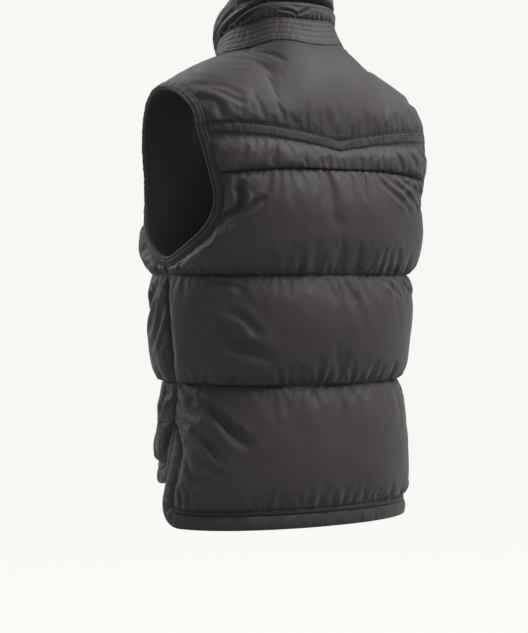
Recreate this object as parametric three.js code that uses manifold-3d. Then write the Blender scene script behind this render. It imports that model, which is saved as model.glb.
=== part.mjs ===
import * as THREE from "three";
import Module from "manifold-3d";
import { mergeVertices } from "three/addons/utils/BufferGeometryUtils.js";

// A quilted puffer vest, zipped up, hollow and open as when it is worn. Millimetres, +Z up.
// The front faces -Y and the wearer's left is +X.
// The origin lies on the middle plane, level with the side neck points.

const { lerp: mix, clamp, degToRad, radToDeg } = THREE.MathUtils;
const ease = (x) => THREE.MathUtils.smoothstep(x, 0, 1);

// Walls and seams
const wallThickness = 4; // shell, filling and lining where stitching holds them together
const seamGap = 0.3; // between two pieces along a seam
const edgeRun = 26; // how far in from a side edge the filling takes to rise to its full height

// Levels of the horizontal seams, at the centre back and at the panel's edge
const joinLevel = { centre: -135, edge: -115 }; // yoke to back, a shallow V
const seamLevels = [
  { centre: -162, edge: -172 },
  { centre: -301, edge: -301 },
  { centre: -444, edge: -441 },
];
const frontChestLevel = -172;
const underarmLevel = -278;

// Body rings at the stitched level of the cloth, from the shoulder blades down to the hem
const bodyRings = [
  { level: -100, halfWidth: 205, back: 128, front: 110, squareness: 2.8 },
  { level: -165, halfWidth: 204, back: 133, front: 118, squareness: 2.8 },
  { level: -230, halfWidth: 192, back: 132, front: 124, squareness: 2.6 },
  { level: -301, halfWidth: 181, back: 129, front: 127, squareness: 2.4 },
  { level: -444, halfWidth: 167, back: 121, front: 122, squareness: 2.3 },
  { level: -540, halfWidth: 171, back: 124, front: 126, squareness: 2.3 },
  { level: -640, halfWidth: 177, back: 129, front: 129, squareness: 2.3 },
];

// Armhole edge in the side view, from the top of each panel down to the underarm
const armholeBack = [
  { level: -115, depth: 76 },
  { level: -140, depth: 83 },
  { level: -170, depth: 88.5 },
  { level: -205, depth: 88.5 },
  { level: -236, depth: 75 },
  { level: -263, depth: 40 },
];
const armholeFront = [
  { level: -172, depth: -92 },
  { level: -205, depth: -87 },
  { level: -238, depth: -67 },
  { level: -264, depth: -35 },
];
const bindingWidth = 12;

// Shoulders and neck opening
const shoulderTip = { x: 190, y: -5 };
const ridge = { middle: 7.3, fall: 0.0018 }; // level on the middle plane, and how the ridge falls with the square of x
const ridgeLift = { height: 36, halfWidth: 88 }; // raises the surface inside the neck opening
const backFullness = 1.15; // how strongly the upper back arches at the centre
const neck = { halfWidth: 83, back: 82, front: 93 };

// Hem
const hemBandWidth = 18;
const hemCorner = 40;
const ventTop = -493;
const ventRun = 40; // over which the hem band reaches its full width below the vent's top
const hemLevels = { back: -627, front: -577 };

// Zip
const zipHalfGap = 8; // panel edge to the middle plane
const zipTape = { inner: 0.3, coil: 3, outer: 13, thickness: 1.2, coilProud: 2.6, behind: 1.3 };

// Collar, at its top edge
const collarTop = { halfWidth: 68, back: 54, front: 112, backLevel: 88, sideLevel: 76, frontLevel: 20 };
const collarLean = 2.2; // how early the collar leans in on its way up

// Fillings: how far each quilted channel stands out, and where down its height it is fullest
const channels = {
  yoke: { puff: 6, fullest: 0.5 },
  blade: { puff: 7, fullest: 0.6 },
  chest: { puff: 16, fullest: 0.66 },
  waist: { puff: 17, fullest: 0.68 },
  skirt: { puff: 14, fullest: 0.6 },
};

// Gathers along each seam: every third grid line is drawn in, its two neighbours stand out
const gather = { depth: 3.2, lift: 1.2, reach: 20 };
const backColumns = 60;
const yokeColumns = 44;
const frontColumns = 27;
const innerColumns = { back: 20, yoke: 22, front: 9 }; // the plain inside is coarser

// Long folds of the back, as girth from the centre back (wearer's left is positive) and level
const backFolds = [
  { fromGirth: 150, fromLevel: -183, toGirth: 168, toLevel: -232, width: 9, depth: 6 },
  { fromGirth: 121, fromLevel: -201, toGirth: 162, toLevel: -230, width: 8, depth: 4 },
  { fromGirth: 180, fromLevel: -374, toGirth: 118, toLevel: -413, width: 9, depth: 5 },
  { fromGirth: 243, fromLevel: -453, toGirth: 142, toLevel: -527, width: 9, depth: 6 },
  { fromGirth: 222, fromLevel: -450, toGirth: 192, toLevel: -487, width: 8, depth: 4 },
  { fromGirth: 212, fromLevel: -470, toGirth: 182, toLevel: -522, width: 8, depth: 4 },
  { fromGirth: -92, fromLevel: -166, toGirth: -165, toLevel: -224, width: 9, depth: 4 },
  { fromGirth: -128, fromLevel: -170, toGirth: -172, toLevel: -205, width: 8, depth: 4 },
  { fromGirth: -196, fromLevel: -312, toGirth: -150, toLevel: -352, width: 9, depth: 5 },
  { fromGirth: -236, fromLevel: -450, toGirth: -165, toLevel: -505, width: 9, depth: 5 },
];

// Long folds of a front, as girth from the side seam and level
const frontFolds = [
  { fromGirth: 70, fromLevel: -186, toGirth: 108, toLevel: -232, width: 9, depth: 5 },
  { fromGirth: 20, fromLevel: -318, toGirth: 78, toLevel: -352, width: 9, depth: 5 },
  { fromGirth: 14, fromLevel: -455, toGirth: 84, toLevel: -508, width: 9, depth: 5 },
  { fromGirth: 215, fromLevel: -380, toGirth: 172, toLevel: -415, width: 8, depth: 4 },
];

// Grid rows down each channel, denser at its stitched edges
const underBand = 0.26; // share of the blade channel that lies flat under the yoke's band
const rowSteps = {
  yoke: [0, 0.1, 0.26, 0.44, 0.62, 0.78, 0.9, 1],
  blade: [0, underBand, 0.55, 0.85, 1],
  chest: [0, 0.06, 0.2, 0.36, 0.52, 0.66, 0.78, 0.88, 0.95, 1],
  waist: [0, 0.06, 0.2, 0.4, 0.62, 0.82, 0.94, 1],
  skirt: [0, 0.06, 0.17, 0.3, 0.46, 0.64, 0.8, 0.9, 0.95, 1],
};

// A steady value between 0 and 1 for each whole number, so that repeats aren't all alike
function vary(index) {
  const wave = Math.sin(index * 12.9898) * 43758.5453;
  return wave - Math.floor(wave);
}

function hermite(from, slopeFrom, to, slopeTo, t) {
  const rest = 1 - t;
  return (
    from * (1 + 2 * t) * rest * rest + slopeFrom * t * rest * rest +
    to * t * t * (3 - 2 * t) - slopeTo * t * t * rest
  );
}

// The body ring at a level, blended smoothly between the rows of the table.
function ringShape(level) {
  let k = 0;
  while (k < bodyRings.length - 2 && level < bodyRings[k + 1].level) k += 1;
  const before = bodyRings[Math.max(k - 1, 0)];
  const from = bodyRings[k];
  const to = bodyRings[k + 1];
  const after = bodyRings[Math.min(k + 2, bodyRings.length - 1)];
  const span = to.level - from.level;
  const blend = (name) => {
    const slopeFrom = ((to[name] - before[name]) / (to.level - before.level)) * span;
    const slopeTo = ((after[name] - from[name]) / (after.level - from.level)) * span;
    return hermite(from[name], slopeFrom, to[name], slopeTo, (level - from.level) / span);
  };
  return {
    halfWidth: blend("halfWidth"),
    back: blend("back"),
    front: blend("front"),
    squareness: blend("squareness"),
  };
}

// Half a ring from the centre back to the centre front, with the girth run up to each point.
const ringSteps = 240;
const levelsPerMillimetre = 50;
const knownRings = new Map();
function ringAt(level) {
  const key = Math.round(level * levelsPerMillimetre);
  if (!knownRings.has(key)) {
    const shape = ringShape(key / levelsPerMillimetre);
    const points = [];
    const girths = [0];
    for (let k = 0; k <= ringSteps; k += 1) {
      const angle = (Math.PI * k) / ringSteps;
      const depth = k * 2 < ringSteps ? shape.back : shape.front;
      const across = Math.abs(Math.sin(angle) / shape.halfWidth) ** shape.squareness;
      const along = Math.abs(Math.cos(angle) / depth) ** shape.squareness;
      const reach = (across + along) ** (-1 / shape.squareness);
      points.push(new THREE.Vector2(reach * Math.sin(angle), reach * Math.cos(angle)));
      if (k > 0) girths.push(girths[k - 1] + points[k].distanceTo(points[k - 1]));
    }
    knownRings.set(key, { points, girths, half: girths[ringSteps], side: girths[ringSteps / 2] });
  }
  return knownRings.get(key);
}

// The point of the body at a girth from the centre back and a level. Both middle planes mirror it.
function onBody(girth, level) {
  const { points, girths, half } = ringAt(level);
  const folded = girth > half ? 2 * half - girth : Math.abs(girth);
  const side = girth < 0 || girth > half ? -1 : 1;
  let low = 0;
  let high = ringSteps;
  while (high - low > 1) {
    const middle = (low + high) >> 1;
    if (girths[middle] > folded) high = middle;
    else low = middle;
  }
  const spot = points[low].clone().lerp(points[high], (folded - girths[low]) / (girths[high] - girths[low]));
  return new THREE.Vector3(side * spot.x, spot.y, level);
}

// The girth at which the body ring lies at a given depth.
function girthAtDepth(level, depth) {
  const { points, girths } = ringAt(level);
  const k = points.findIndex((point) => point.y < depth);
  const share = (points[k - 1].y - depth) / (points[k - 1].y - points[k].y);
  return mix(girths[k - 1], girths[k], share);
}

// The outward normal of a surface given as a function of two values.
function outward(surface, a, b, stepA, stepB) {
  const alongA = surface(a + stepA, b).sub(surface(a - stepA, b));
  const alongB = surface(a, b + stepB).sub(surface(a, b - stepB));
  return alongB.cross(alongA).normalize();
}
const ringNormal = (girth, level) => outward(onBody, girth, level, 3, 3);

// A line through dense points that is read by its share of length.
function measuredLine(points) {
  const lengths = [0];
  for (let k = 1; k < points.length; k += 1) {
    lengths.push(lengths[k - 1] + points[k].distanceTo(points[k - 1]));
  }
  const total = lengths[points.length - 1];
  return {
    total,
    at(share) {
      const wanted = clamp(share, 0, 1) * total;
      let k = 1;
      while (k < points.length - 1 && lengths[k] < wanted) k += 1;
      return points[k - 1].clone().lerp(points[k], (wanted - lengths[k - 1]) / (lengths[k] - lengths[k - 1]));
    },
    shareWhere(test) {
      return lengths[points.findIndex(test)] / total;
    },
  };
}

// One half of the body below the arms, laid flat: x is the girth inwards from the side seam, y is the level.
function flatHalf(isFront) {
  const rows = isFront ? armholeFront : armholeBack;
  const place = ({ x, y }) => {
    const girth = isFront ? ringAt(y).side + x : ringAt(y).side - x;
    return { point: onBody(girth, y), normal: ringNormal(girth, y) };
  };
  const edge = rows.map(({ level, depth }) => {
    const inset = Math.abs(girthAtDepth(level, depth) - ringAt(level).side);
    return new THREE.Vector3(inset, level, 0);
  });
  const turned = edge.at(-1).clone().setX(-edge.at(-1).x);
  const curve = new THREE.CatmullRomCurve3([...edge, new THREE.Vector3(0, underarmLevel, 0), turned]);
  const dense = Array.from({ length: 161 }, (_, k) =>
    curve.getPoint((k / 160) * (edge.length / (edge.length + 1))));
  const armhole = measuredLine(dense);
  // A point of the armhole's edge, moved into the panel; the way in is level at the top.
  const insideArmhole = (share, distance) => {
    const along = armhole.at(share + 0.01).sub(armhole.at(share - 0.01)).normalize();
    const inwards = new THREE.Vector2(-along.y, along.x);
    if (share > 0.98) inwards.set(0, -1);
    inwards.lerp(new THREE.Vector2(1, 0), 1 - ease(share / 0.25)).normalize();
    const from = armhole.at(share);
    return new THREE.Vector2(from.x, from.y).addScaledVector(inwards, distance);
  };
  const middle = (level) => {
    const { half, side } = ringAt(level);
    return isFront ? half - side - zipHalfGap : side;
  };
  return { isFront, place, armhole, insideArmhole, middle };
}
const backHalf = flatHalf(false);
const frontHalf = flatHalf(true);

// The hem outline of one half, with its rounded corner; share 0 is the outer edge, 1 the band's inner edge.
function hemOutline(half) {
  const bottom = half.isFront ? hemLevels.front : hemLevels.back;
  const cornerLevel = bottom + hemCorner;
  const inset = (level, share) =>
    share * hemBandWidth * mix(0.14, 1, ease((ventTop - level) / ventRun));
  const onSide = (down, share) => {
    const level = mix(ventTop, cornerLevel, down);
    return new THREE.Vector2(seamGap / 2 + inset(level, share), level);
  };
  const onCorner = (turn, share) => {
    const angle = degToRad(90 * turn);
    const radius = hemCorner - share * hemBandWidth;
    return new THREE.Vector2(
      seamGap / 2 + hemCorner - radius * Math.cos(angle),
      cornerLevel - radius * Math.sin(angle),
    );
  };
  const onBottom = (along, share) => {
    const level = bottom + share * hemBandWidth;
    return new THREE.Vector2(mix(half.middle(level), seamGap / 2 + hemCorner, along), level);
  };
  return { onSide, onCorner, onBottom };
}
const hems = new Map([backHalf, frontHalf].map((half) => [half, hemOutline(half)]));

// Where the hem outline passes from the vent's side into the corner, as shares of rows and columns
const skirtStations = { vent: 0.3, corner: 0.9, bottom: 0.93 };

function hemBesideRow(half, t, share) {
  const hem = hems.get(half);
  const { vent, corner } = skirtStations;
  if (t < corner) return hem.onSide((t - vent) / (corner - vent), share);
  return hem.onCorner(((t - corner) / (1 - corner)) * 0.5, share);
}

function hemBelowColumn(half, u, share) {
  const hem = hems.get(half);
  const { bottom } = skirtStations;
  if (u <= bottom) return hem.onBottom(u / bottom, share);
  return hem.onCorner(1 - ((u - bottom) / (1 - bottom)) * 0.5, share);
}

// A flat patch blended between its four edges. u runs from the middle to the side, t runs down.
function patch({ middle, side, top, bottom }) {
  return (u, t) => {
    const spot = middle(t).multiplyScalar(1 - u).addScaledVector(side(t), u);
    spot.addScaledVector(top(u), 1 - t).addScaledVector(bottom(u), t);
    spot.addScaledVector(top(0), -(1 - u) * (1 - t)).addScaledVector(top(1), -u * (1 - t));
    return spot.addScaledVector(bottom(0), -(1 - u) * t).addScaledVector(bottom(1), -u * t);
  };
}

const flat = (x, y) => new THREE.Vector2(x, y);
const cornerRow = 0.95; // of the chest channel, where the binding's lower edge meets the side seam

// A straight or bent seam across one half, between its ends.
function seamLine(half, { centre, edge }, end, power = 1.6) {
  return (u) => {
    const level = mix(centre, edge, u ** power);
    return flat(mix(half.middle(level), end.x, u), u === 1 ? end.y : level);
  };
}

// The V of the yoke's join: its legs flatten towards the armholes.
function joinLevelAt(u) {
  return mix(joinLevel.centre, joinLevel.edge, 1 - (1 - Math.min(u, 1)) ** 1.8);
}

// The share of a half's armhole line above its chest channel.
function chestShareOf(half) {
  return half.isFront ? 0 : half.armhole.shareWhere((spot) => spot.y < seamLevels[0].edge);
}

// The channels of one half below the chest line, as flat patches.
function halfChannels(half) {
  const { insideArmhole, middle } = half;
  const chest = half.isFront
    ? { centre: frontChestLevel, edge: frontChestLevel }
    : seamLevels[0];
  const chestShare = chestShareOf(half);
  const lowest = insideArmhole(1, bindingWidth);
  const sideAt = (level) => flat(seamGap / 2, level);
  const beside = (share) => {
    const spot = insideArmhole(share, bindingWidth);
    return spot.setX(Math.max(spot.x, seamGap / 2));
  };
  const [, waistSeam, skirtSeam] = seamLevels;
  const chestTop = seamLine(half, chest, beside(chestShare));
  const waistTop = seamLine(half, waistSeam, sideAt(waistSeam.edge));
  const skirtTop = seamLine(half, skirtSeam, sideAt(skirtSeam.edge));
  const middleFrom = (top, bottom) => (t) => {
    const level = mix(top, bottom, t);
    return flat(middle(level), level);
  };
  const chestPatch = patch({
    middle: middleFrom(chest.centre, waistSeam.centre),
    side: (t) =>
      t < cornerRow
        ? beside(mix(chestShare, 1, t / cornerRow))
        : sideAt(mix(lowest.y, waistSeam.edge, (t - cornerRow) / (1 - cornerRow))),
    top: chestTop,
    bottom: waistTop,
  });
  const waistPatch = patch({
    middle: middleFrom(waistSeam.centre, skirtSeam.centre),
    side: (t) => sideAt(mix(waistSeam.edge, skirtSeam.edge, t)),
    top: waistTop,
    bottom: skirtTop,
  });
  const { vent } = skirtStations;
  const skirtPatch = patch({
    middle: middleFrom(skirtSeam.centre, hemBelowColumn(half, 0, 1).y),
    side: (t) =>
      t < vent ? sideAt(mix(skirtSeam.edge, ventTop, t / vent)) : hemBesideRow(half, t, 1),
    top: skirtTop,
    bottom: (u) => hemBelowColumn(half, u, 1),
  });
  const list = [
    { name: "chest", spot: chestPatch },
    { name: "waist", spot: waistPatch },
    { name: "skirt", spot: skirtPatch },
  ];
  if (half.isFront) return list;
  const joinEnd = beside(0);
  const bladePatch = patch({
    middle: middleFrom(joinLevel.centre - seamGap / 2, chest.centre),
    side: (t) => beside(chestShare * t).add(flat(0, t === 0 ? -seamGap / 2 : 0)),
    top: (u) => {
      const level = joinLevelAt(u) - seamGap / 2;
      return flat(mix(middle(level), joinEnd.x, u), level);
    },
    bottom: chestTop,
  });
  return [{ name: "blade", spot: bladePatch }, ...list];
}

// The shoulder ridge, on which back and front meet.
function ridgeAt(x) {
  const lift = ridgeLift.height * Math.max(0, 1 - (x / ridgeLift.halfWidth) ** 4) ** 2;
  return new THREE.Vector3(x, shoulderTip.y * (x / shoulderTip.x), ridge.middle - ridge.fall * x * x + lift);
}

// The surface over a shoulder, from the top row of the body up to the ridge. u runs to the armhole's edge.
function shoulderSurface(isFront) {
  const half = isFront ? frontHalf : backHalf;
  const edge = half.armhole.at(0);
  const start = isFront ? zipHalfGap : 0;
  return (u, v) => {
    const level = isFront ? frontChestLevel : joinLevelAt(u / yokeEdgeShare);
    const { side } = ringAt(level);
    const inner = half.middle(level);
    const inset = mix(inner, edge.x, u);
    const girth = isFront ? side + inset : side - inset;
    const foot = onBody(girth, level);
    const up = onBody(girth, level + 3).sub(onBody(girth, level - 3)).normalize();
    const top = ridgeAt(mix(start, shoulderTip.x, u));
    const reach = foot.distanceTo(top) * (isFront ? 1 : mix(backFullness, 1, clamp(u, 0, 1)));
    const over = isFront ? 1 : -1;
    return new THREE.Vector3(
      hermite(foot.x, up.x * reach, top.x, 0, v),
      hermite(foot.y, up.y * reach, top.y, over * reach, v),
      hermite(foot.z, up.z * reach, top.z, 0, v),
    );
  };
}
const yokeEdgeShare = backHalf.insideArmhole(0, bindingWidth).x > 0
  ? (backHalf.middle(joinLevel.edge) - backHalf.insideArmhole(0, bindingWidth).x) /
    (backHalf.middle(joinLevel.edge) - backHalf.armhole.at(0).x)
  : 1;
const shoulders = { back: shoulderSurface(false), front: shoulderSurface(true) };

function shoulderPlace(isFront, u, v) {
  const surface = isFront ? shoulders.front : shoulders.back;
  const normal = outward(surface, u, v, 0.01, 0.01);
  return { point: surface(u, v), normal: isFront ? normal.negate() : normal };
}

// How far along u a distance in from the armhole's edge lies, in one row of a shoulder.
function insetShare(isFront, v, distance) {
  const surface = isFront ? shoulders.front : shoulders.back;
  const strip = surface(1, v).distanceTo(surface(0.95, v)) / 0.05;
  return 1 - distance / strip;
}

// The neck opening is an ellipse in plan. Finds where one of its points lies on a shoulder surface.
function neckSpot(isFront, turn) {
  const surface = isFront ? shoulders.front : shoulders.back;
  const angle = degToRad(90 * turn);
  const x = neck.halfWidth * Math.sin(angle);
  const y = isFront ? -neck.front * Math.cos(angle) : neck.back * Math.cos(angle);
  const start = isFront ? zipHalfGap : 0;
  const rowAt = (u) => {
    let low = 0;
    let high = 1;
    for (let k = 0; k < 24; k += 1) {
      const v = (low + high) / 2;
      if (Math.abs(surface(u, v).y) > Math.abs(y)) low = v;
      else high = v;
    }
    return (low + high) / 2;
  };
  let u = (x - start) / (shoulderTip.x - start);
  for (let k = 0; k < 6; k += 1) u += (x - surface(u, rowAt(u)).x) / (shoulderTip.x - start);
  u = Math.max(u, 0);
  return flat(u, turn === 1 ? 1 : rowAt(u));
}

const neckSteps = { back: 12, front: 15 }; // columns of a half that end at the neck opening
function shoulderPatch(isFront) {
  const neckShare = isFront ? neckSteps.front / frontColumns : (2 * neckSteps.back) / yokeColumns;
  const neckCorner = neckSpot(isFront, 1);
  const seamV = 1 - seamGap / 2 / 110;
  const neckEdge = Array.from({ length: 25 }, (_, k) => {
    const spot = neckSpot(isFront, k / 24);
    return new THREE.Vector3(spot.x, Math.min(spot.y, seamV), 0);
  });
  const neckLine = (share) => {
    const wanted = share * 24;
    const k = Math.min(Math.floor(wanted), 23);
    const spot = neckEdge[k].clone().lerp(neckEdge[k + 1], wanted - k);
    return flat(spot.x, spot.y);
  };
  const side = (v) => flat(insetShare(isFront, v * seamV, bindingWidth), v * seamV);
  const footV = isFront ? 0 : seamGap / 2 / 110;
  return patch({
    middle: (t) => flat(0, mix(neckLine(0).y, footV, t)),
    side: (t) => side(Math.max(1 - t, footV)),
    top: (u) =>
      u < neckShare
        ? neckLine(u / neckShare)
        : flat(mix(neckCorner.x, side(1).x, (u - neckShare) / (1 - neckShare)), seamV),
    bottom: (u) => flat(u * side(footV).x, footV),
  });
}

// The height of the filling across a channel: steep at both seams, fullest below its middle.
function fillingProfile(t, fullest) {
  const away = t < fullest ? (fullest - t) / fullest : (t - fullest) / (1 - fullest);
  const power = t < fullest ? 1.9 : 2.6;
  return (1 - clamp(away, 0, 1) ** power) ** 0.7;
}

function edgeRise(distance) {
  return Math.sqrt(1 - (1 - clamp(distance / edgeRun, 0, 1)) ** 2);
}

function foldDepth(folds, girth, level) {
  let depth = 0;
  for (const fold of folds) {
    const spanG = fold.toGirth - fold.fromGirth;
    const spanL = fold.toLevel - fold.fromLevel;
    const along =
      ((girth - fold.fromGirth) * spanG + (level - fold.fromLevel) * spanL) / (spanG ** 2 + spanL ** 2);
    const held = clamp(along, 0, 1);
    const away = Math.hypot(
      girth - fold.fromGirth - held * spanG,
      level - fold.fromLevel - held * spanL,
    );
    const taper = 0.35 + 0.65 * Math.sin(Math.PI * clamp(held, 0.12, 0.88));
    depth += fold.depth * taper * Math.exp(-((away / fold.width) ** 2));
  }
  return depth;
}

// The gathers near the two seams of a channel, drawn in at every third column.
function gatherOffset(column, seed, toTop, toBottom) {
  const drawnIn = ((column % 3) + 3) % 3 === 0;
  const strength = 0.35 + 0.65 * vary(Math.floor(column / 3) * 7 + seed);
  const near = Math.exp(-((Math.min(toTop, toBottom) / gather.reach) ** 2));
  return (drawnIn ? -gather.depth : gather.lift) * strength * near;
}

// Builds one closed wall from an outer grid and a plainer inner grid of the same outline.
// With closed set, the rows run round a ring and the last joins the first.
function wallGeometry(outer, inner, closed = false) {
  const positions = [];
  const triangles = [];
  const number = (grid) =>
    grid.map((row) => row.map((point) => positions.push(point.x, point.y, point.z) / 3 - 1));
  const outerIds = number(outer);
  const innerIds = number(inner);
  const sheet = (ids, facesIn) => {
    const rows = closed ? ids.length : ids.length - 1;
    for (let i = 0; i < rows; i += 1) {
      const row = ids[i];
      const next = ids[(i + 1) % ids.length];
      for (let j = 0; j + 1 < row.length; j += 1) {
        const [a, b, c, d] = [row[j], row[j + 1], next[j + 1], next[j]];
        if (facesIn) triangles.push(a, c, b, a, d, c);
        else triangles.push(a, b, c, a, c, d);
      }
    }
  };
  sheet(outerIds, false);
  sheet(innerIds, true);
  // Joins two edge lines that run the same way, one triangle at a time, by their share of length.
  const joinEdges = (lineA, lineB) => {
    let i = 0;
    let j = 0;
    while (i < lineA.length - 1 || j < lineB.length - 1) {
      const nextA = i < lineA.length - 1 ? lineA[i + 1].share : Infinity;
      const nextB = j < lineB.length - 1 ? lineB[j + 1].share : Infinity;
      if (nextA <= nextB) {
        triangles.push(lineA[i + 1].id, lineA[i].id, lineB[j].id);
        i += 1;
      } else {
        triangles.push(lineA[i].id, lineB[j].id, lineB[j + 1].id);
        j += 1;
      }
    }
  };
  const edgeLine = (ids, grid, backwards) => {
    const shares = [0];
    for (let k = 1; k < grid.length; k += 1) {
      shares.push(shares[k - 1] + grid[k].distanceTo(grid[k - 1]));
    }
    const line = ids.map((id, k) => ({ id, share: shares[k] / shares.at(-1) }));
    return backwards ? line.reverse().map(({ id, share }) => ({ id, share: 1 - share })) : line;
  };
  const columnOf = (grid, j) => {
    const column = grid.map((row) => row.at(j));
    return closed ? [...column, column[0]] : column;
  };
  const joinSides = (takeRow, backwards) =>
    joinEdges(
      edgeLine(takeRow(outerIds), takeRow(outer), backwards),
      edgeLine(takeRow(innerIds), takeRow(inner), backwards),
    );
  joinSides((grid) => columnOf(grid, -1), false);
  joinSides((grid) => columnOf(grid, 0), true);
  if (!closed) {
    joinSides((grid) => grid[0], false);
    joinSides((grid) => grid.at(-1), true);
  }
  const geometry = new THREE.BufferGeometry();
  geometry.setAttribute("position", new THREE.Float32BufferAttribute(positions, 3));
  geometry.setIndex(facingOut(positions, triangles));
  geometry.computeVertexNormals();
  return geometry;
}

// Turns every triangle round where the body would enclose a negative volume.
function facingOut(positions, triangles) {
  const corner = (k) => new THREE.Vector3().fromArray(positions, triangles[k] * 3);
  let volume = 0;
  for (let k = 0; k < triangles.length; k += 3) {
    volume += corner(k).dot(corner(k + 1).cross(corner(k + 2)));
  }
  if (volume > 0) return triangles;
  for (let k = 0; k < triangles.length; k += 3) {
    [triangles[k + 1], triangles[k + 2]] = [triangles[k + 2], triangles[k + 1]];
  }
  return triangles;
}

const mirroredPoint = (point, side) => new THREE.Vector3(point.x * side, point.y, point.z);
const raised = ({ point, normal }, height) => point.clone().addScaledVector(normal, height);

// The rows of a panel half: for each step down a channel, a function from u to a place and its filling.
function channelRows(half, folds, fillSign) {
  const rows = [];
  halfChannels(half).forEach(({ name, spot }, index) => {
    const { puff, fullest } = channels[name];
    const steps = rowSteps[name];
    steps.forEach((t, k) => {
      if (index > 0 && k === 0 && rows.length > 0) return;
      rows.push((u, column, side) => {
        const where = spot(u, t);
        const place = half.place(where);
        const reach = half.middle(where.y) - where.x;
        const width = half.middle(where.y);
        const fromTop = name === "blade" ? clamp((t - underBand) / (1 - underBand), 0, 1) : t;
        const rise = fillingProfile(fromTop, fullest) * edgeRise(width * (1 - Math.abs(u)));
        const zipRise = half.isFront ? edgeRise(reach + 4) : 1;
        const height = Math.abs(spot(u, 1).y - spot(u, 0).y);
        const pull = gatherOffset(column, index * 31 + fillSign, fromTop * height, (1 - t) * height);
        const girth = half.isFront ? where.x : (ringAt(where.y).side - where.x) * side;
        const filling = puff * rise * zipRise;
        const share = Math.min(1, filling / 6);
        const folded = foldDepth(folds, girth, where.y);
        return { ...place, height: Math.max(0, filling + share * (pull - folded)) };
      });
    });
  });
  return rows;
}

function shoulderRows(isFront) {
  const spot = shoulderPatch(isFront);
  const { puff, fullest } = channels.yoke;
  return rowSteps.yoke.map((t) => (u, column) => {
    const where = spot(u, t);
    const place = shoulderPlace(isFront, where.x, where.y);
    const flatFoot = isFront ? 1 : clamp((1 - t) / 0.1 - 0.9, 0, 1);
    const rise = fillingProfile(t, fullest) * edgeRise(190 * (1 - Math.abs(u))) * flatFoot;
    const zipRise = isFront ? edgeRise(190 * u + 4) : 1;
    const height = 110 * t;
    const pull = isFront ? gatherOffset(column, 17, 110 - height, 110 - height) : 0;
    const filling = puff * rise * zipRise;
    return { ...place, height: Math.max(0, filling + Math.min(1, filling / 6) * pull) };
  });
}

const spread = (count) => Array.from({ length: count + 1 }, (_, k) => k / count);

// A panel across the whole back: u from -1 at the wearer's right to 1 at the left.
function backPanelGeometry(rows, columns, innerColumns) {
  const across = spread(columns).map((share) => 2 * share - 1);
  const lift = (row, u, column) => {
    const side = u < 0 ? -1 : 1;
    const place = row(Math.abs(u), column, side);
    return { place, side };
  };
  const outer = rows.map((row) =>
    across.map((u, column) => {
      const { place, side } = lift(row, u, column);
      return mirroredPoint(raised(place, place.height), side);
    }));
  const inner = rows.map((row) =>
    spread(innerColumns).map((share) => {
      const { place, side } = lift(row, 2 * share - 1, 0);
      return mirroredPoint(raised(place, -wallThickness), side);
    }));
  return wallGeometry(outer, inner);
}

// A front panel, from the zip at u 0 to the side at u 1.
function frontPanelGeometry(rows, side) {
  const outer = rows.map((row) =>
    spread(frontColumns).map((u, column) => {
      const place = row(u, column + (side > 0 ? 0 : 5), side);
      return mirroredPoint(raised(place, place.height), side);
    }));
  const inner = rows.map((row) =>
    spread(innerColumns.front).map((u) => mirroredPoint(raised(row(u, 0, side), -wallThickness), side)));
  return wallGeometry(outer, inner);
}

const yokeGeometry = () => backPanelGeometry(shoulderRows(false), yokeColumns, innerColumns.yoke);
const backGeometry = () =>
  backPanelGeometry(channelRows(backHalf, backFolds, 3), backColumns, innerColumns.back);

function frontGeometry(side) {
  const channelPart = channelRows(frontHalf, frontFolds, side > 0 ? 5 : 11).slice(1);
  return frontPanelGeometry([...shoulderRows(true), ...channelPart], side);
}

// A band from rungs of outer points, with a plain inside at one depth. The inside follows
// the first and last point of each rung, and those numbered in between.
function bandGeometry(rungs, closed, between = []) {
  const outer = rungs.map((rung) => rung.map(({ place, height, side }) =>
    mirroredPoint(raised(place, height), side)));
  const inner = rungs.map((rung) => [0, ...between, rung.length - 1].map((k) => {
    const { place, depth, side } = rung[k];
    return mirroredPoint(raised(place, -depth), side);
  }));
  return wallGeometry(outer, inner, closed);
}

// The V strip lies on the yoke and the back, along their join.
const yokeBand = { halfHeight: 6, thickness: 1.8, clearance: 0.35, short: 5 };
function yokeBandGeometry() {
  const rungs = spread(backColumns).map((share) => {
    const u = 2 * share - 1;
    const side = u < 0 ? -1 : 1;
    const away = Math.abs(u);
    const end = backHalf.insideArmhole(0, bindingWidth).x + yokeBand.short;
    return [yokeBand.halfHeight, 0, -yokeBand.halfHeight].map((lift) => {
      const level = joinLevelAt(away) + lift;
      const spot = flat(mix(backHalf.middle(level), end, away), level);
      const place = backHalf.place(spot);
      const height = yokeBand.clearance + yokeBand.thickness;
      return { place, height, depth: -yokeBand.clearance, side };
    });
  });
  return bandGeometry(rungs, false);
}

// A hem band runs down a vent, round its corner and along the hem; the fronts' bands end at the zip.
const hemCrown = [1.2, 2.2, 0.6]; // how far the band's outer points stand out, from panel to edge
function hemRungs(half, side) {
  const steps = rowSteps.skirt.filter((t) => t >= skirtStations.vent);
  const columns = half.isFront ? frontColumns : backColumns / 2;
  const us = spread(columns).reverse();
  const rung = (spotAt, fillShare) => {
    const edge = spotAt(1);
    edge.add(spotAt(0).sub(edge).setLength(seamGap));
    return [edge, spotAt(0.5), spotAt(0)].map((spot, k) => ({
      place: half.place(spot), height: hemCrown[k] * fillShare, depth: wallThickness, side,
    }));
  };
  const rungs = steps.map((t) => rung((share) => hemBesideRow(half, t, share), t > 0.35 ? 1 : 0.4));
  us.slice(1).forEach((u) => rungs.push(rung((share) => hemBelowColumn(half, u, share), 1)));
  return rungs;
}

function backHemGeometry() {
  const left = hemRungs(backHalf, 1);
  const right = hemRungs(backHalf, -1).slice(0, -1).reverse();
  return bandGeometry([...left, ...right], false);
}

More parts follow.
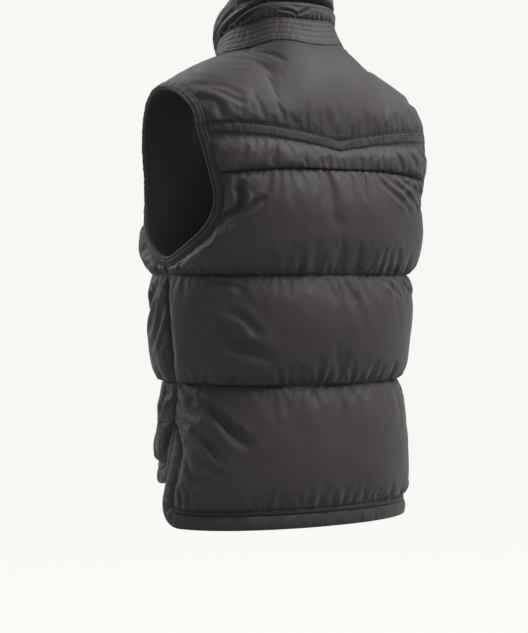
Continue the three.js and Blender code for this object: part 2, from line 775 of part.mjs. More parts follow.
const frontHemGeometry = (side) => bandGeometry(hemRungs(frontHalf, side), false);

// The binding is a closed ring: up over the yoke, the shoulder and the front, and under the arm.
const bindingCrown = [{ distance: bindingWidth - seamGap, height: 0.4 }, { distance: 6, height: 1.6 }, { distance: 0, height: 0.2 }];
function bindingGeometry(side) {
  const flatRung = (half, share) => bindingCrown.map(({ distance, height }) => ({
    place: half.place(half.insideArmhole(share, distance)), height, depth: wallThickness, side,
  }));
  const shoulderRung = (isFront, v) => bindingCrown.map(({ distance, height }) => ({
    place: shoulderPlace(isFront, insetShare(isFront, v, distance), v), height, depth: wallThickness, side,
  }));
  const bladeShare = chestShareOf(backHalf);
  const chestRows = rowSteps.chest.filter((t) => t <= cornerRow);
  const shares = (from) => chestRows.map((t) => mix(from, 1, t / cornerRow));
  const rising = [...rowSteps.yoke].reverse().map((t) => 1 - t);
  const rungs = [
    ...rowSteps.blade.slice(0, -1).map((t) => flatRung(backHalf, bladeShare * t)),
    ...shares(bladeShare).slice(0, -1).map((share) => flatRung(backHalf, share)),
    ...shares(0).reverse().map((share) => flatRung(frontHalf, share)),
    ...rising.slice(1).map((v) => shoulderRung(true, v)),
    ...rising.slice(1, -1).reverse().map((v) => shoulderRung(false, v)),
  ];
  return bandGeometry(rungs, true);
}

const neckGap = 0.9; // between the collar and the panels' neck edge
const leanAt = (share) => 1 - (1 - share) ** collarLean;
// The collar's line at an angle from the centre back, at a share of its height.
function collarPlace(angle, share) {
  const isFront = Math.abs(angle) > 90;
  const turn = (isFront ? 180 - Math.abs(angle) : Math.abs(angle)) / 90;
  const spot = neckSpot(isFront, turn);
  const foot = (isFront ? shoulders.front : shoulders.back)(spot.x, spot.y);
  foot.z += neckGap;
  const swing = degToRad(Math.abs(angle));
  const cos = Math.cos(swing);
  const depth = (isFront ? collarTop.front : collarTop.back) * cos;
  const topLevel = isFront
    ? mix(collarTop.sideLevel, collarTop.frontLevel, Math.abs(cos) ** 1.25)
    : mix(collarTop.sideLevel, collarTop.backLevel, cos);
  const head = new THREE.Vector3(collarTop.halfWidth * Math.sin(swing), depth, topLevel);
  const lean = leanAt(share);
  const point = new THREE.Vector3(mix(foot.x, head.x, lean), mix(foot.y, head.y, lean), mix(foot.z, head.z, share));
  const normal = new THREE.Vector3(Math.sin(swing) / neck.halfWidth, cos / neck.back, 0).normalize();
  return { point, normal };
}

// Each collar piece: heights and how far its outer points stand out there.
const collarStandRows = [0, 0.05, 0.1, 0.15, 0.2, 0.25, 0.3, 0.35, 0.4].map((share, k) => ({
  share, height: k % 2 === 1 ? 2.6 : 1.4,
}));
const collarUpperRows = [
  { share: 0.405, height: 1.6 },
  { share: 0.46, height: 5.5 },
  { share: 0.55, height: 7.5 },
  { share: 0.64, height: 5.2 },
  { share: 0.69, height: 4.6 },
  { share: 0.77, height: 7 },
  { share: 0.9, height: 6 },
  { share: 0.97, height: 3.6 },
  { share: 1, height: 0.6 },
];
const collarAngles = [
  ...spread(neckSteps.back).map((share) => 90 * share),
  ...spread(neckSteps.front).slice(1, -1).map((share) => 90 + 90 * share),
  175,
];
function collarGeometry(rows) {
  const ring = [...[...collarAngles].reverse().map((angle) => -angle), ...collarAngles.slice(1)];
  const rungs = ring.map((angle) => {
    const side = angle < 0 ? -1 : 1;
    const toZip = (collarAngles.at(-1) - Math.abs(angle)) * 1.6;
    return rows.map((row) => ({
      place: collarPlace(angle, row.share),
      height: row.height * (0.35 + 0.65 * edgeRise(toZip)),
      depth: wallThickness,
      side,
    }));
  });
  return bandGeometry(rungs, false, [2, 5]);
}

// The zip's rows: how the garment's front lies at a distance from the middle plane, from hem to collar top.
function zipRows() {
  const bodyRow = (level) => (x) => {
    const girth = ringAt(level).half - x;
    return { point: onBody(girth, level), normal: ringNormal(girth, level) };
  };
  const neckRow = neckSpot(true, 0).y;
  const chestRow = (share) => (x) => {
    const v = neckRow * share;
    const start = shoulders.front(0, v).x;
    return shoulderPlace(true, (x - start) / (shoulderTip.x - start), v);
  };
  const collarRow = (share) => (x) =>
    collarPlace(180 - radToDeg(Math.asin(x / mix(neck.halfWidth, collarTop.halfWidth, leanAt(share)))), share);
  const levels = ["skirt", "waist", "chest"].flatMap((name, k) => {
    const top = [seamLevels[2].centre, seamLevels[1].centre, frontChestLevel][k];
    const bottom = [hemLevels.front + 1, seamLevels[2].centre, seamLevels[1].centre][k];
    return [...rowSteps[name]].reverse().slice(0, -1).map((t) => mix(top, bottom, t));
  });
  return [
    ...levels.map(bodyRow),
    ...[...rowSteps.yoke].reverse().slice(0, -1).map((t) => chestRow(1 - t)),
    ...[0, 0.1, 0.2, 0.3, 0.4, 0.55, 0.69, 0.83, 0.92].map(collarRow),
  ];
}

function zipTapeGeometry(side) {
  const { inner, coil, outer, thickness, coilProud, behind } = zipTape;
  const front = -(wallThickness + behind);
  const profile = [
    { x: inner, height: front + coilProud },
    { x: coil, height: front + coilProud },
    { x: coil + 0.3, height: front },
    { x: outer, height: front },
  ];
  const rungs = zipRows().map((row) =>
    profile.map(({ x, height }) => {
      const { point, normal } = row(x);
      return { place: { point: point.setX(x), normal: normal.setX(0) }, height, depth: thickness - front, side };
    }));
  return bandGeometry(rungs, false);
}

// The zip's line on the middle plane, and its outward direction at a share of its length.
const zip = new THREE.CatmullRomCurve3(zipRows().map((row) => row(0.01).point.setX(0)));
function zipFrame(share) {
  const along = zip.getTangentAt(share);
  return { point: zip.getPointAt(share), normal: new THREE.Vector3(0, -along.z, along.y).normalize() };
}

// Slider and pull tab, in a frame on the zip's line: -Y is outwards, +Z is up the zip.
const slider = { width: 9, height: 12, thickness: 2.2, clearance: 0.4, fromTop: 9 };
const bridge = { width: 2, reach: 4.2, leg: 1.2, stand: 3.6, axle: 1.2 };
const pull = { thickness: 1.2, width: 6.8, length: 30, bar: 0.6, windowWidth: 3.4, windowLength: 5.6, round: 2 };

const wasm = await Module();
wasm.setup();

function toSolid(geometry) {
  const bare = geometry.clone();
  bare.deleteAttribute("normal");
  bare.deleteAttribute("uv");
  const merged = mergeVertices(bare, 1e-4);
  return new wasm.Manifold(new wasm.Mesh({
    numProp: 3,
    vertProperties: Float32Array.from(merged.attributes.position.array),
    triVerts: Uint32Array.from(merged.index.array),
  }));
}

function toGeometry(solid) {
  const mesh = solid.getMesh();
  const geometry = new THREE.BufferGeometry();
  geometry.setAttribute("position", new THREE.Float32BufferAttribute(mesh.vertProperties, 3));
  geometry.setIndex(Array.from(mesh.triVerts));
  geometry.computeVertexNormals();
  return geometry;
}

function roundedPlate(width, bottom, top, radius) {
  const shape = new THREE.Shape();
  const half = width / 2;
  shape.moveTo(half, top - radius);
  shape.absarc(half - radius, top - radius, radius, 0, Math.PI / 2);
  shape.absarc(radius - half, top - radius, radius, Math.PI / 2, Math.PI);
  shape.absarc(radius - half, bottom + radius, radius, Math.PI, Math.PI * 1.5);
  shape.absarc(half - radius, bottom + radius, radius, Math.PI * 1.5, Math.PI * 2);
  return shape;
}

// A plate of a shape in the X-Z plane, whose back lies at y and which grows outwards.
function plateGeometry(shape, thickness, y) {
  const geometry = new THREE.ExtrudeGeometry(shape, { depth: thickness, bevelEnabled: false, curveSegments: 3 });
  return geometry.rotateX(Math.PI / 2).translate(0, y, 0);
}

function sliderGeometry() {
  const { width, height, thickness } = slider;
  const body = toSolid(plateGeometry(roundedPlate(width, -height / 2, height / 2, 2), thickness, 0));
  const arch = new THREE.Shape();
  const { reach, leg, stand } = bridge;
  arch.moveTo(-reach, -0.5);
  arch.lineTo(-reach, stand - 1);
  arch.lineTo(1 - reach, stand);
  arch.lineTo(reach - 1, stand);
  arch.lineTo(reach, stand - 1);
  arch.lineTo(reach, -0.5);
  arch.lineTo(reach - leg, -0.5);
  arch.lineTo(reach - leg, stand - leg);
  arch.lineTo(leg - reach, stand - leg);
  arch.lineTo(leg - reach, -0.5);
  const bow = new THREE.ExtrudeGeometry(arch, { depth: bridge.width, bevelEnabled: false });
  // The arch is drawn along X and up Y; it is turned to run up the zip and stand outwards.
  bow.translate(0, 0, -bridge.width / 2).rotateY(-Math.PI / 2);
  bow.rotateZ(Math.PI).translate(0, -thickness, 0);
  return { body, bow };
}

function pullGeometry() {
  const { thickness, width, length, bar, windowWidth, windowLength, round } = pull;
  const shape = roundedPlate(width, bar - length, bar, round);
  const window = new THREE.Path();
  const half = windowWidth / 2;
  window.moveTo(-half, -bar);
  window.lineTo(-half, -bar - windowLength);
  window.lineTo(half, -bar - windowLength);
  window.lineTo(half, -bar);
  shape.holes.push(window);
  return plateGeometry(shape, thickness, thickness / 2);
}

// Finishes
const nylon = new THREE.MeshStandardMaterial({ color: 0x4a464a, roughness: 0.55, metalness: 0 });
const tapeCloth = new THREE.MeshStandardMaterial({ color: 0x2b292b, roughness: 0.8, metalness: 0 });
const darkMetal = new THREE.MeshStandardMaterial({ color: 0x1f1f21, roughness: 0.35, metalness: 0.8 });

const vest = new THREE.Group();
function add(name, geometry, material, parent = vest) {
  const mesh = new THREE.Mesh(geometry, material);
  mesh.name = name;
  parent.add(mesh);
  return mesh;
}

add("back_yoke", yokeGeometry(), nylon);
add("yoke_band", yokeBandGeometry(), nylon);
add("back_panel", backGeometry(), nylon);
add("back_hem_band", backHemGeometry(), nylon);
add("collar_stand", collarGeometry(collarStandRows), nylon);
add("collar_upper", collarGeometry(collarUpperRows), nylon);
for (const [hand, side] of [["left", 1], ["right", -1]]) {
  add(`front_${hand}`, frontGeometry(side), nylon);
  add(`front_hem_band_${hand}`, frontHemGeometry(side), nylon);
  add(`armhole_binding_${hand}`, bindingGeometry(side), nylon);
  add(`zip_tape_${hand}`, zipTapeGeometry(side), tapeCloth);
}

// The slider stands just below the top of the zip, and its tab hangs from the bridge.
const sliderShare = 1 - slider.fromTop / zip.getLength();
const sliderPlace = zipFrame(sliderShare);
const sliderGroup = new THREE.Group();
const coilFace = -(wallThickness + zipTape.behind) + zipTape.coilProud;
sliderGroup.position.copy(raised(sliderPlace, coilFace + slider.clearance));
sliderGroup.rotation.x = Math.atan2(-sliderPlace.normal.z, -sliderPlace.normal.y);
const { body: sliderBody, bow } = sliderGeometry();
add("zip_slider", toGeometry(sliderBody.add(toSolid(bow))), darkMetal, sliderGroup);
const tab = add("zip_pull_tab", pullGeometry(), darkMetal, sliderGroup);
tab.position.set(0, -slider.thickness - bridge.axle, 0);
vest.add(sliderGroup);

export default vest;
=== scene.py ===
import math

import bpy
import numpy as np
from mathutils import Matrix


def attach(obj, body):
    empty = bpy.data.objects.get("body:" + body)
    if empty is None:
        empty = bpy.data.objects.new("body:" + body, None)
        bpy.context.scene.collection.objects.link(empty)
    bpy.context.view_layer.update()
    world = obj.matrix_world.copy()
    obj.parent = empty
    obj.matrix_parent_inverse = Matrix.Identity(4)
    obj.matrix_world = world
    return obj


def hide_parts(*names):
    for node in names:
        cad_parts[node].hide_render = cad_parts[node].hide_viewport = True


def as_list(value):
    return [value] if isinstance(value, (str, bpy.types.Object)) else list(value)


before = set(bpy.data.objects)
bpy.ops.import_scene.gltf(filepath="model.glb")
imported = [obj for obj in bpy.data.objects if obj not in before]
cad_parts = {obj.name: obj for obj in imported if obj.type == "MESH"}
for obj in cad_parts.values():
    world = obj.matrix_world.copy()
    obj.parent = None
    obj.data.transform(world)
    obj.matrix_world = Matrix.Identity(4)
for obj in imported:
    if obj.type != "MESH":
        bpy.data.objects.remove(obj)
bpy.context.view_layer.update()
bpy.ops.object.select_all(action="DESELECT")
print("frame loaded:", len(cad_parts), "nodes")

mm = 0.001
leastLift = 0.15  # the outer cloth stands at least this far off the wall's base, in millimetres
seamShadeFadeHeight = {"panel": 4.5, "strip": 3.2, "stand": 2.0}  # filling height from which a piece gets no painted seam shade; less filling paints the cloth darker, as shade

# The cut of the vest, in millimetres: the same driving sizes as the solids
cut = {
    "wall": 4.0,
    "edgeRun": 26.0,
    "binding": 12.0,
    "join": (-135.0, -115.0),  # centre back and panel edge
    "seams": ((-162.0, -172.0), (-301.0, -301.0), (-444.0, -441.0)),
    "frontChest": -172.0,
    "underarm": -278.0,
    "ventTop": -493.0,
    "ventRun": 40.0,
    "ventStart": 0.14,  # share of the band's width at the top of the vent
    # How far the back's left and right corners stand off, and how high and wide that reaches
    "flare": {"left": 18.0, "right": 3.0, "tall": 130.0, "from": 60.0, "over": 110.0},
    "hemBand": 18.0,
    "hemCorner": 40.0,
    "hem": {"back": -627.0, "front": -577.0},
    "zipHalfGap": 8.0,
    "shoulderTip": (190.0, -5.0),
    "ridge": {"middle": 7.3, "fall": 0.0018, "lift": 36.0, "liftWidth": 88.0},
    "backFullness": 1.15,
    "neck": {"halfWidth": 83.0, "back": 82.0, "front": 93.0},
    "collarTop": {"halfWidth": 68.0, "back": 54.0, "front": 112.0,
                  "backLevel": 88.0, "sideLevel": 76.0, "frontLevel": 20.0},
    "collarLean": 2.2,  # how early the collar leans in on its way up
    "neckGap": 0.1,  # between the collar's foot and the shoulders
}
# Level, half width, depth behind, depth before, squareness
bodyRings = np.array([
    (-60, 205, 126, 106, 2.8),
    (-100, 205, 128, 110, 2.8),
    (-165, 204, 133, 118, 2.8),
    (-230, 192, 132, 124, 2.6),
    (-301, 181, 129, 127, 2.4),
    (-444, 167, 121, 122, 2.3),
    (-540, 171, 124, 126, 2.3),
    (-640, 177, 129, 129, 2.3),
    (-680, 178, 130, 130, 2.3),
], float)
# Level and depth of the armhole's edge, top to bottom
armholeBack = ((-115, 76), (-140, 83), (-170, 88.5), (-205, 88.5), (-236, 75), (-263, 40))
armholeFront = ((-172, -92), (-205, -87), (-238, -67), (-264, -35))
hands = (("left", 1), ("right", -1))


def signOf(us):
    return np.where(us < 0, -1.0, 1.0)


# Both halves are laid out on the vest's left, and the right one is turned over
def mirrored(grids, signs):
    flip = np.stack(np.broadcast_arrays(signs, 1.0, 1.0), -1)
    return [grid * flip for grid in grids]


def joined(parts):
    return [np.concatenate(group) for group in zip(*parts)]


def crossed(rows, columns):
    return np.broadcast_arrays(rows[:, None], np.asarray(columns, float)[None, :])


def lengthAlong(line):
    return np.concatenate([[0], np.cumsum(np.linalg.norm(np.diff(line, axis=0), axis=1))])


def mix(a, b, t):
    return a + (b - a) * t


def ease(x):
    x = np.clip(x, 0, 1)
    return x * x * (3 - 2 * x)


def hermite(a, slopeA, b, slopeB, t):
    rest = 1 - t
    return (a * (1 + 2 * t) * rest * rest + slopeA * t * rest * rest
            + b * t * t * (3 - 2 * t) - slopeB * t * t * rest)


def ringShape(level):
    rows = bodyRings[1:-1] if -640 <= level <= -100 else bodyRings
    k = 0
    while k < len(rows) - 2 and level < rows[k + 1][0]:
        k += 1
    before, start, end = rows[max(k - 1, 0)], rows[k], rows[k + 1]
    after = rows[min(k + 2, len(rows) - 1)]
    span = end[0] - start[0]
    slopeStart = (end - before) / (end[0] - before[0]) * span
    slopeEnd = (after - start) / (after[0] - start[0]) * span
    return hermite(start, slopeStart, end, slopeEnd, (level - start[0]) / span)


# Half rings of the vest, read by level and by share of their girth
ringStep = 2.0
ringLevels = np.arange(-680.0, -58.0, ringStep)
ringShares, ringAngles = 361, 721


def makeRings():
    xs, ys, halves, sides = [], [], [], []
    angles = np.linspace(0, math.pi, ringAngles)
    for level in ringLevels:
        _, halfWidth, back, front, power = ringShape(level)
        depth = np.where(angles < math.pi / 2, back, front)
        across = np.abs(np.sin(angles) / halfWidth) ** power
        along = np.abs(np.cos(angles) / depth) ** power
        reach = (across + along) ** (-1 / power)
        x, y = reach * np.sin(angles), reach * np.cos(angles)
        girth = np.concatenate([[0], np.cumsum(np.hypot(np.diff(x), np.diff(y)))])
        even = np.linspace(0, girth[-1], ringShares)
        xs.append(np.interp(even, girth, x))
        ys.append(np.interp(even, girth, y))
        halves.append(girth[-1])
        sides.append(girth[ringAngles // 2])
    return np.array(xs), np.array(ys), np.array(halves), np.array(sides)


ringX, ringY, ringHalf, ringSide = makeRings()


def halfGirth(level):
    return np.interp(level, ringLevels, ringHalf)


def sideGirth(level):
    return np.interp(level, ringLevels, ringSide)


def onBody(girth, level):
    girth, level = np.broadcast_arrays(np.asarray(girth, float), np.asarray(level, float))
    half = halfGirth(level)
    beyond = girth > half
    folded = np.where(beyond, 2 * half - girth, np.abs(girth))
    sign = np.where((girth < 0) | beyond, -1.0, 1.0)
    row = np.clip((level - ringLevels[0]) / ringStep, 0, len(ringLevels) - 1.001)
    column = np.clip(folded / half * (ringShares - 1), 0, ringShares - 1.001)
    r, c = row.astype(int), column.astype(int)
    fr, fc = row - r, column - c

    def read(table):
        low = mix(table[r, c], table[r, c + 1], fc)
        high = mix(table[r + 1, c], table[r + 1, c + 1], fc)
        return mix(low, high, fr)

    return np.stack([sign * read(ringX), read(ringY), level], -1)


def unit(v):
    return v / np.maximum(np.linalg.norm(v, axis=-1, keepdims=True), 1e-12)


def bodyNormal(girth, level):
    girth, level = np.broadcast_arrays(np.asarray(girth, float), np.asarray(level, float))
    along = onBody(girth + 4, level) - onBody(girth - 4, level)
    up = onBody(girth, level + 4) - onBody(girth, level - 4)
    return unit(np.cross(up, along))


def catmullRom(points, shares):
    points = np.asarray(points, float)
    ends = np.vstack([2 * points[0] - points[1], points, 2 * points[-1] - points[-2]])
    out = []
    for share in shares:
        spot = share * (len(points) - 1)
        k = min(int(spot), len(points) - 2)
        t = spot - k
        p0, p1, p2, p3 = ends[k:k + 4]
        d0, d1, d2 = (np.linalg.norm(b - a) ** 0.5 for a, b in ((p0, p1), (p1, p2), (p2, p3)))
        t1 = ((p1 - p0) / d0 - (p2 - p0) / (d0 + d1) + (p2 - p1) / d1) * d1
        t2 = ((p2 - p1) / d1 - (p3 - p1) / (d1 + d2) + (p3 - p2) / d2) * d1
        out.append(hermite(p1, t1, p2, t2, t))
    return np.array(out)


class Half:
    def __init__(self, isFront):
        self.isFront = isFront
        rows = armholeFront if isFront else armholeBack
        edge = []
        for level, depth in rows:
            girths = np.linspace(0, halfGirth(level), 4000)
            at = np.interp(-depth, -onBody(girths, level)[:, 1], girths)
            edge.append((abs(at - sideGirth(level)), level))
        last = edge[-1]
        points = [*edge, (0.0, cut["underarm"]), (-last[0], last[1])]
        dense = catmullRom(points, np.linspace(0, len(edge) / (len(edge) + 1), 321))
        self.line = dense
        run = lengthAlong(dense)
        self.shares = run / run[-1]
        self.chestShare = 0.0 if isFront else np.interp(-cut["seams"][0][1], -dense[:, 1], self.shares)

    def atArmhole(self, share):
        share = np.clip(share, 0, 1)
        return np.stack([np.interp(share, self.shares, self.line[:, k]) for k in (0, 1)], -1)

    def insideArmhole(self, share, distance):
        share = np.asarray(share, float)
        along = unit(self.atArmhole(share + 0.01) - self.atArmhole(share - 0.01))
        inwards = np.stack([-along[..., 1], along[..., 0]], -1)
        inwards = np.where((share > 0.98)[..., None], np.array([0.0, -1.0]), inwards)
        level = (1 - ease(share / 0.25))[..., None]
        inwards = unit(mix(inwards, np.array([1.0, 0.0]), level))
        return self.atArmhole(share) + inwards * np.asarray(distance, float)[..., None]

    def middle(self, level):
        side = sideGirth(level)
        return halfGirth(level) - side - cut["zipHalfGap"] if self.isFront else side

    def girth(self, spot):
        side = sideGirth(spot[..., 1])
        return side + spot[..., 0] if self.isFront else side - spot[..., 0]

    def place(self, spot):
        girth = self.girth(spot)
        return onBody(girth, spot[..., 1]), bodyNormal(girth, spot[..., 1])


backHalf, frontHalf = Half(False), Half(True)
print("body rings and armholes laid out")


# The back's lower corners swing outwards from the top of the vents
def flared(points):
    x, flare = points[..., 0], cut["flare"]
    low = ease((cut["ventTop"] - points[..., 2]) / flare["tall"])
    near = ease((np.abs(x) - flare["from"]) / flare["over"])
    out = points.copy()
    out[..., 0] += np.where(x > 0, flare["left"], -flare["right"]) * low * near
    return out


# Where the skirt's rows and columns meet the vent and the corner, and where the chest's meet the underarm
skirtStations = {"vent": 0.3, "corner": 0.9, "bottom": 0.93}
cornerRow = 0.95


def flat(x, y):
    x, y = np.broadcast_arrays(np.asarray(x, float), np.asarray(y, float))
    return np.stack([x, y], -1)


def hemBottom(half):
    return cut["hem"]["front" if half.isFront else "back"]


def hemSide(half, down, share):
    level = mix(cut["ventTop"], hemBottom(half) + cut["hemCorner"], down)
    widening = ease((cut["ventTop"] - level) / cut["ventRun"])
    width = cut["hemBand"] * mix(cut["ventStart"], 1, widening)
    return flat(share * width, level)


def hemTurn(half, turn, share):
    angle = np.radians(90 * turn)
    radius = cut["hemCorner"] - share * cut["hemBand"]
    return flat(cut["hemCorner"] - radius * np.cos(angle),
                hemBottom(half) + cut["hemCorner"] - radius * np.sin(angle))


def hemStraight(half, along, share):
    level = hemBottom(half) + share * cut["hemBand"]
    return flat(mix(half.middle(level), cut["hemCorner"], along), level)


def hemBesideRow(half, t, share):
    vent, corner = skirtStations["vent"], skirtStations["corner"]
    t = np.asarray(t, float)
    onSide = hemSide(half, (t - vent) / (corner - vent), share)
    onTurn = hemTurn(half, np.clip((t - corner) / (1 - corner), 0, 1) * 0.5, share)
    return np.where((t < corner)[..., None], onSide, onTurn)


def hemBelowColumn(half, u, share):
    bottom = skirtStations["bottom"]
    u = np.asarray(u, float)
    straight = hemStraight(half, u / bottom, share)
    turned = hemTurn(half, 1 - np.clip((u - bottom) / (1 - bottom), 0, 1) * 0.5, share)
    return np.where((u <= bottom)[..., None], straight, turned)


def patch(u, t, middle, side, top, bottom):
    u, t = np.asarray(u, float)[None, :, None], np.asarray(t, float)[:, None, None]
    corners = [c[0] for c in (top(np.array([0.0])), top(np.array([1.0])),
                              bottom(np.array([0.0])), bottom(np.array([1.0])))]
    spot = middle(t[:, 0, 0])[:, None] * (1 - u) + side(t[:, 0, 0])[:, None] * u
    spot = spot + top(u[0, :, 0])[None] * (1 - t) + bottom(u[0, :, 0])[None] * t
    spot = spot - corners[0] * (1 - u) * (1 - t) - corners[1] * u * (1 - t)
    return spot - corners[2] * (1 - u) * t - corners[3] * u * t


def joinLevelAt(u):
    return mix(cut["join"][0], cut["join"][1], 1 - (1 - np.minimum(u, 1)) ** 1.8)


def channelSpots(half, name, u, t):
    chest = (cut["frontChest"],) * 2 if half.isFront else cut["seams"][0]
    waist, skirt = cut["seams"][1], cut["seams"][2]

    def beside(share):
        spot = half.insideArmhole(share, np.full(np.shape(share), cut["binding"]))
        spot[..., 0] = np.maximum(spot[..., 0], 0)
        return spot

    def seam(levels, end):
        def line(v):
            level = mix(levels[0], levels[1], v ** 1.6)
            spot = flat(mix(half.middle(level), end[0], v), level)
            return np.where((v == 1)[..., None], np.asarray(end), spot)
        return line

    def down(top, bottom):
        return lambda v: flat(half.middle(mix(top, bottom, v)), mix(top, bottom, v))

    chestTop = seam(chest, beside(np.array(half.chestShare)))
    waistTop = seam(waist, (0.0, waist[1]))
    skirtTop = seam(skirt, (0.0, skirt[1]))
    if name == "blade":
        end = beside(np.array(0.0))
        return patch(u, t, down(cut["join"][0], chest[0]), lambda v: beside(half.chestShare * v),
                     lambda v: flat(mix(half.middle(joinLevelAt(v)), end[0], v), joinLevelAt(v)), chestTop)
    if name == "chest":
        lowest = float(half.insideArmhole(np.array(1.0), np.array(cut["binding"]))[1])

        def side(v):
            curve = beside(mix(half.chestShare, 1, np.minimum(v / cornerRow, 1)))
            straight = flat(0.0, mix(lowest, waist[1], np.clip((v - cornerRow) / (1 - cornerRow), 0, 1)))
            return np.where((v < cornerRow)[..., None], curve, straight)
        return patch(u, t, down(chest[0], waist[0]), side, chestTop, waistTop)
    if name == "waist":
        return patch(u, t, down(waist[0], skirt[0]),
                     lambda v: flat(0.0, mix(waist[1], skirt[1], v)), waistTop, skirtTop)
    vent = skirtStations["vent"]

    def side(v):
        straight = flat(0.0, mix(skirt[1], cut["ventTop"], np.minimum(v / vent, 1)))
        return np.where((v < vent)[..., None], straight, hemBesideRow(half, v, 1.0))
    bottomLevel = hemBottom(half) + cut["hemBand"]
    return patch(u, t, down(skirt[0], bottomLevel), side, skirtTop,
                 lambda v: hemBelowColumn(half, v, 1.0))


def ridgeAt(x):
    ridge = cut["ridge"]
    lift = ridge["lift"] * np.maximum(0, 1 - (x / ridge["liftWidth"]) ** 4) ** 2
    tipX, tipY = cut["shoulderTip"]
    return np.stack([x, tipY * (x / tipX), ridge["middle"] - ridge["fall"] * x * x + lift], -1)


edgeIn = backHalf.insideArmhole(np.array(0.0), np.array(cut["binding"]))[0]
yokeEdgeShare = ((backHalf.middle(cut["join"][1]) - edgeIn)
                 / (backHalf.middle(cut["join"][1]) - backHalf.atArmhole(0.0)[0]))


def overShoulder(isFront, u, v):
    half = frontHalf if isFront else backHalf
    u, v = np.broadcast_arrays(np.asarray(u, float), np.asarray(v, float))
    level = np.full(u.shape, cut["frontChest"]) if isFront else joinLevelAt(u / yokeEdgeShare)
    inset = mix(half.middle(level), half.atArmhole(0.0)[0], u)
    girth = sideGirth(level) + inset if isFront else sideGirth(level) - inset
    foot = onBody(girth, level)
    up = unit(onBody(girth, level + 3) - onBody(girth, level - 3))
    if isFront:
        up[..., 0] *= np.clip(u / 0.2, 0, 1)
    top = ridgeAt(mix(cut["zipHalfGap"] if isFront else 0.0, cut["shoulderTip"][0], u))
    reach = np.linalg.norm(top - foot, axis=-1)
    reach = reach * (1 if isFront else mix(cut["backFullness"], 1, np.clip(u, 0, 1)))
    over = np.zeros(foot.shape)
    over[..., 1] = reach if isFront else -reach
    return hermite(foot, up * reach[..., None], top, over, v[..., None])


def shoulderPlace(isFront, u, v):
    step = 0.012
    alongU = overShoulder(isFront, u + step, v) - overShoulder(isFront, u - step, v)
    alongV = overShoulder(isFront, u, v + step) - overShoulder(isFront, u, v - step)
    normal = unit(np.cross(alongV, alongU))
    return overShoulder(isFront, u, v), -normal if isFront else normal


def insetShare(isFront, v, distance):
    strip = np.linalg.norm(overShoulder(isFront, 1.0, v) - overShoulder(isFront, 0.95, v), axis=-1)
    return 1 - distance * 0.05 / strip


def neckSpots(isFront, turns):
    out = []
    start = cut["zipHalfGap"] if isFront else 0.0
    tipX = cut["shoulderTip"][0]
    vs, rounds = np.linspace(0, 1, 600), 7
    for turn in np.atleast_1d(turns):
        angle = math.radians(90 * turn)
        x = cut["neck"]["halfWidth"] * math.sin(angle)
        y = cut["neck"]["front" if isFront else "back"] * math.cos(angle)
        u = (x - start) / (tipX - start)
        v = 1.0
        for _ in range(rounds):
            depths = np.abs(overShoulder(isFront, np.full(len(vs), u), vs)[:, 1])
            v = float(np.interp(-y, -depths, vs))
            u += (x - float(overShoulder(isFront, u, v)[0])) / (tipX - start)
        out.append((max(u, 0.0), 1.0 if turn == 1 else v))
    return np.array(out)


neckTurns = np.linspace(0, 1, 49)
neckLines = {isFront: neckSpots(isFront, neckTurns) for isFront in (False, True)}
neckShares = {False: 12 / 22, True: 15 / 27}  # share of a shoulder's upper edge that lies on the neck


def shoulderSpots(isFront, u, t):
    line, neckShare = neckLines[isFront], neckShares[isFront]

    def side(v):
        return flat(insetShare(isFront, v, cut["binding"]), v)
    footX, endX = (float(x) for x in side(np.array([0.0, 1.0]))[:, 0])

    def top(v):
        share = np.minimum(v / neckShare, 1)
        onNeck = flat(np.interp(share, neckTurns, line[:, 0]), np.interp(share, neckTurns, line[:, 1]))
        onRidge = flat(mix(line[-1, 0], endX, np.clip((v - neckShare) / (1 - neckShare), 0, 1)), 1.0)
        return np.where((v < neckShare)[..., None], onNeck, onRidge)
    return patch(u, t, lambda v: flat(0.0, mix(line[0, 1], 0.0, v)), lambda v: side(1 - v), top,
                 lambda v: flat(v * footX, 0.0))


print("shoulders and neck laid out")


def softNoise(seed, a, b, wavelength):
    dice = np.random.default_rng(seed)
    out = np.zeros(np.shape(a))
    for _ in range(16):
        angle, phase = dice.uniform(0, 2 * math.pi, 2)
        pace = 2 * math.pi / (wavelength * dice.uniform(0.7, 1.6))
        out += np.cos(pace * (a * math.cos(angle) + b * math.sin(angle)) + phase)
    return out / 2.83


def fillingProfile(t, fullest, steep=0.6):
    away = np.where(t < fullest, (fullest - t) / fullest, (t - fullest) / (1 - fullest))
    power = np.where(t < fullest, 1.8, 3.0)
    return (1 - np.clip(away, 0, 1) ** power) ** np.where(t < fullest, 0.7, steep)


def edgeRise(distance):
    return np.sqrt(1 - (1 - np.clip(distance / cut["edgeRun"], 0, 1)) ** 2)


def foldRelief(folds, girth, level):
    relief = np.zeros(np.shape(girth))
    for fromG, fromL, toG, toL, width, depth in folds:
        spanG, spanL = toG - fromG, toL - fromL
        length = math.hypot(spanG, spanL)
        along = ((girth - fromG) * spanG + (level - fromL) * spanL) / length ** 2
        across = ((girth - fromG) * spanL - (level - fromL) * spanG) / length
        held = np.clip(along, 0, 1)
        across = across + width * 0.5 * np.sin(held * 4.2 + fromG)
        away = np.hypot(across, (along - held) * length)
        taper = np.sin(math.pi * np.clip(0.1 + 0.8 * held, 0, 1)) ** 0.7
        ridge = np.exp(-((away - 1.8 * width) / width) ** 2)
        relief += depth * taper * (0.35 * ridge - np.exp(-(away / width) ** 2))
    return relief


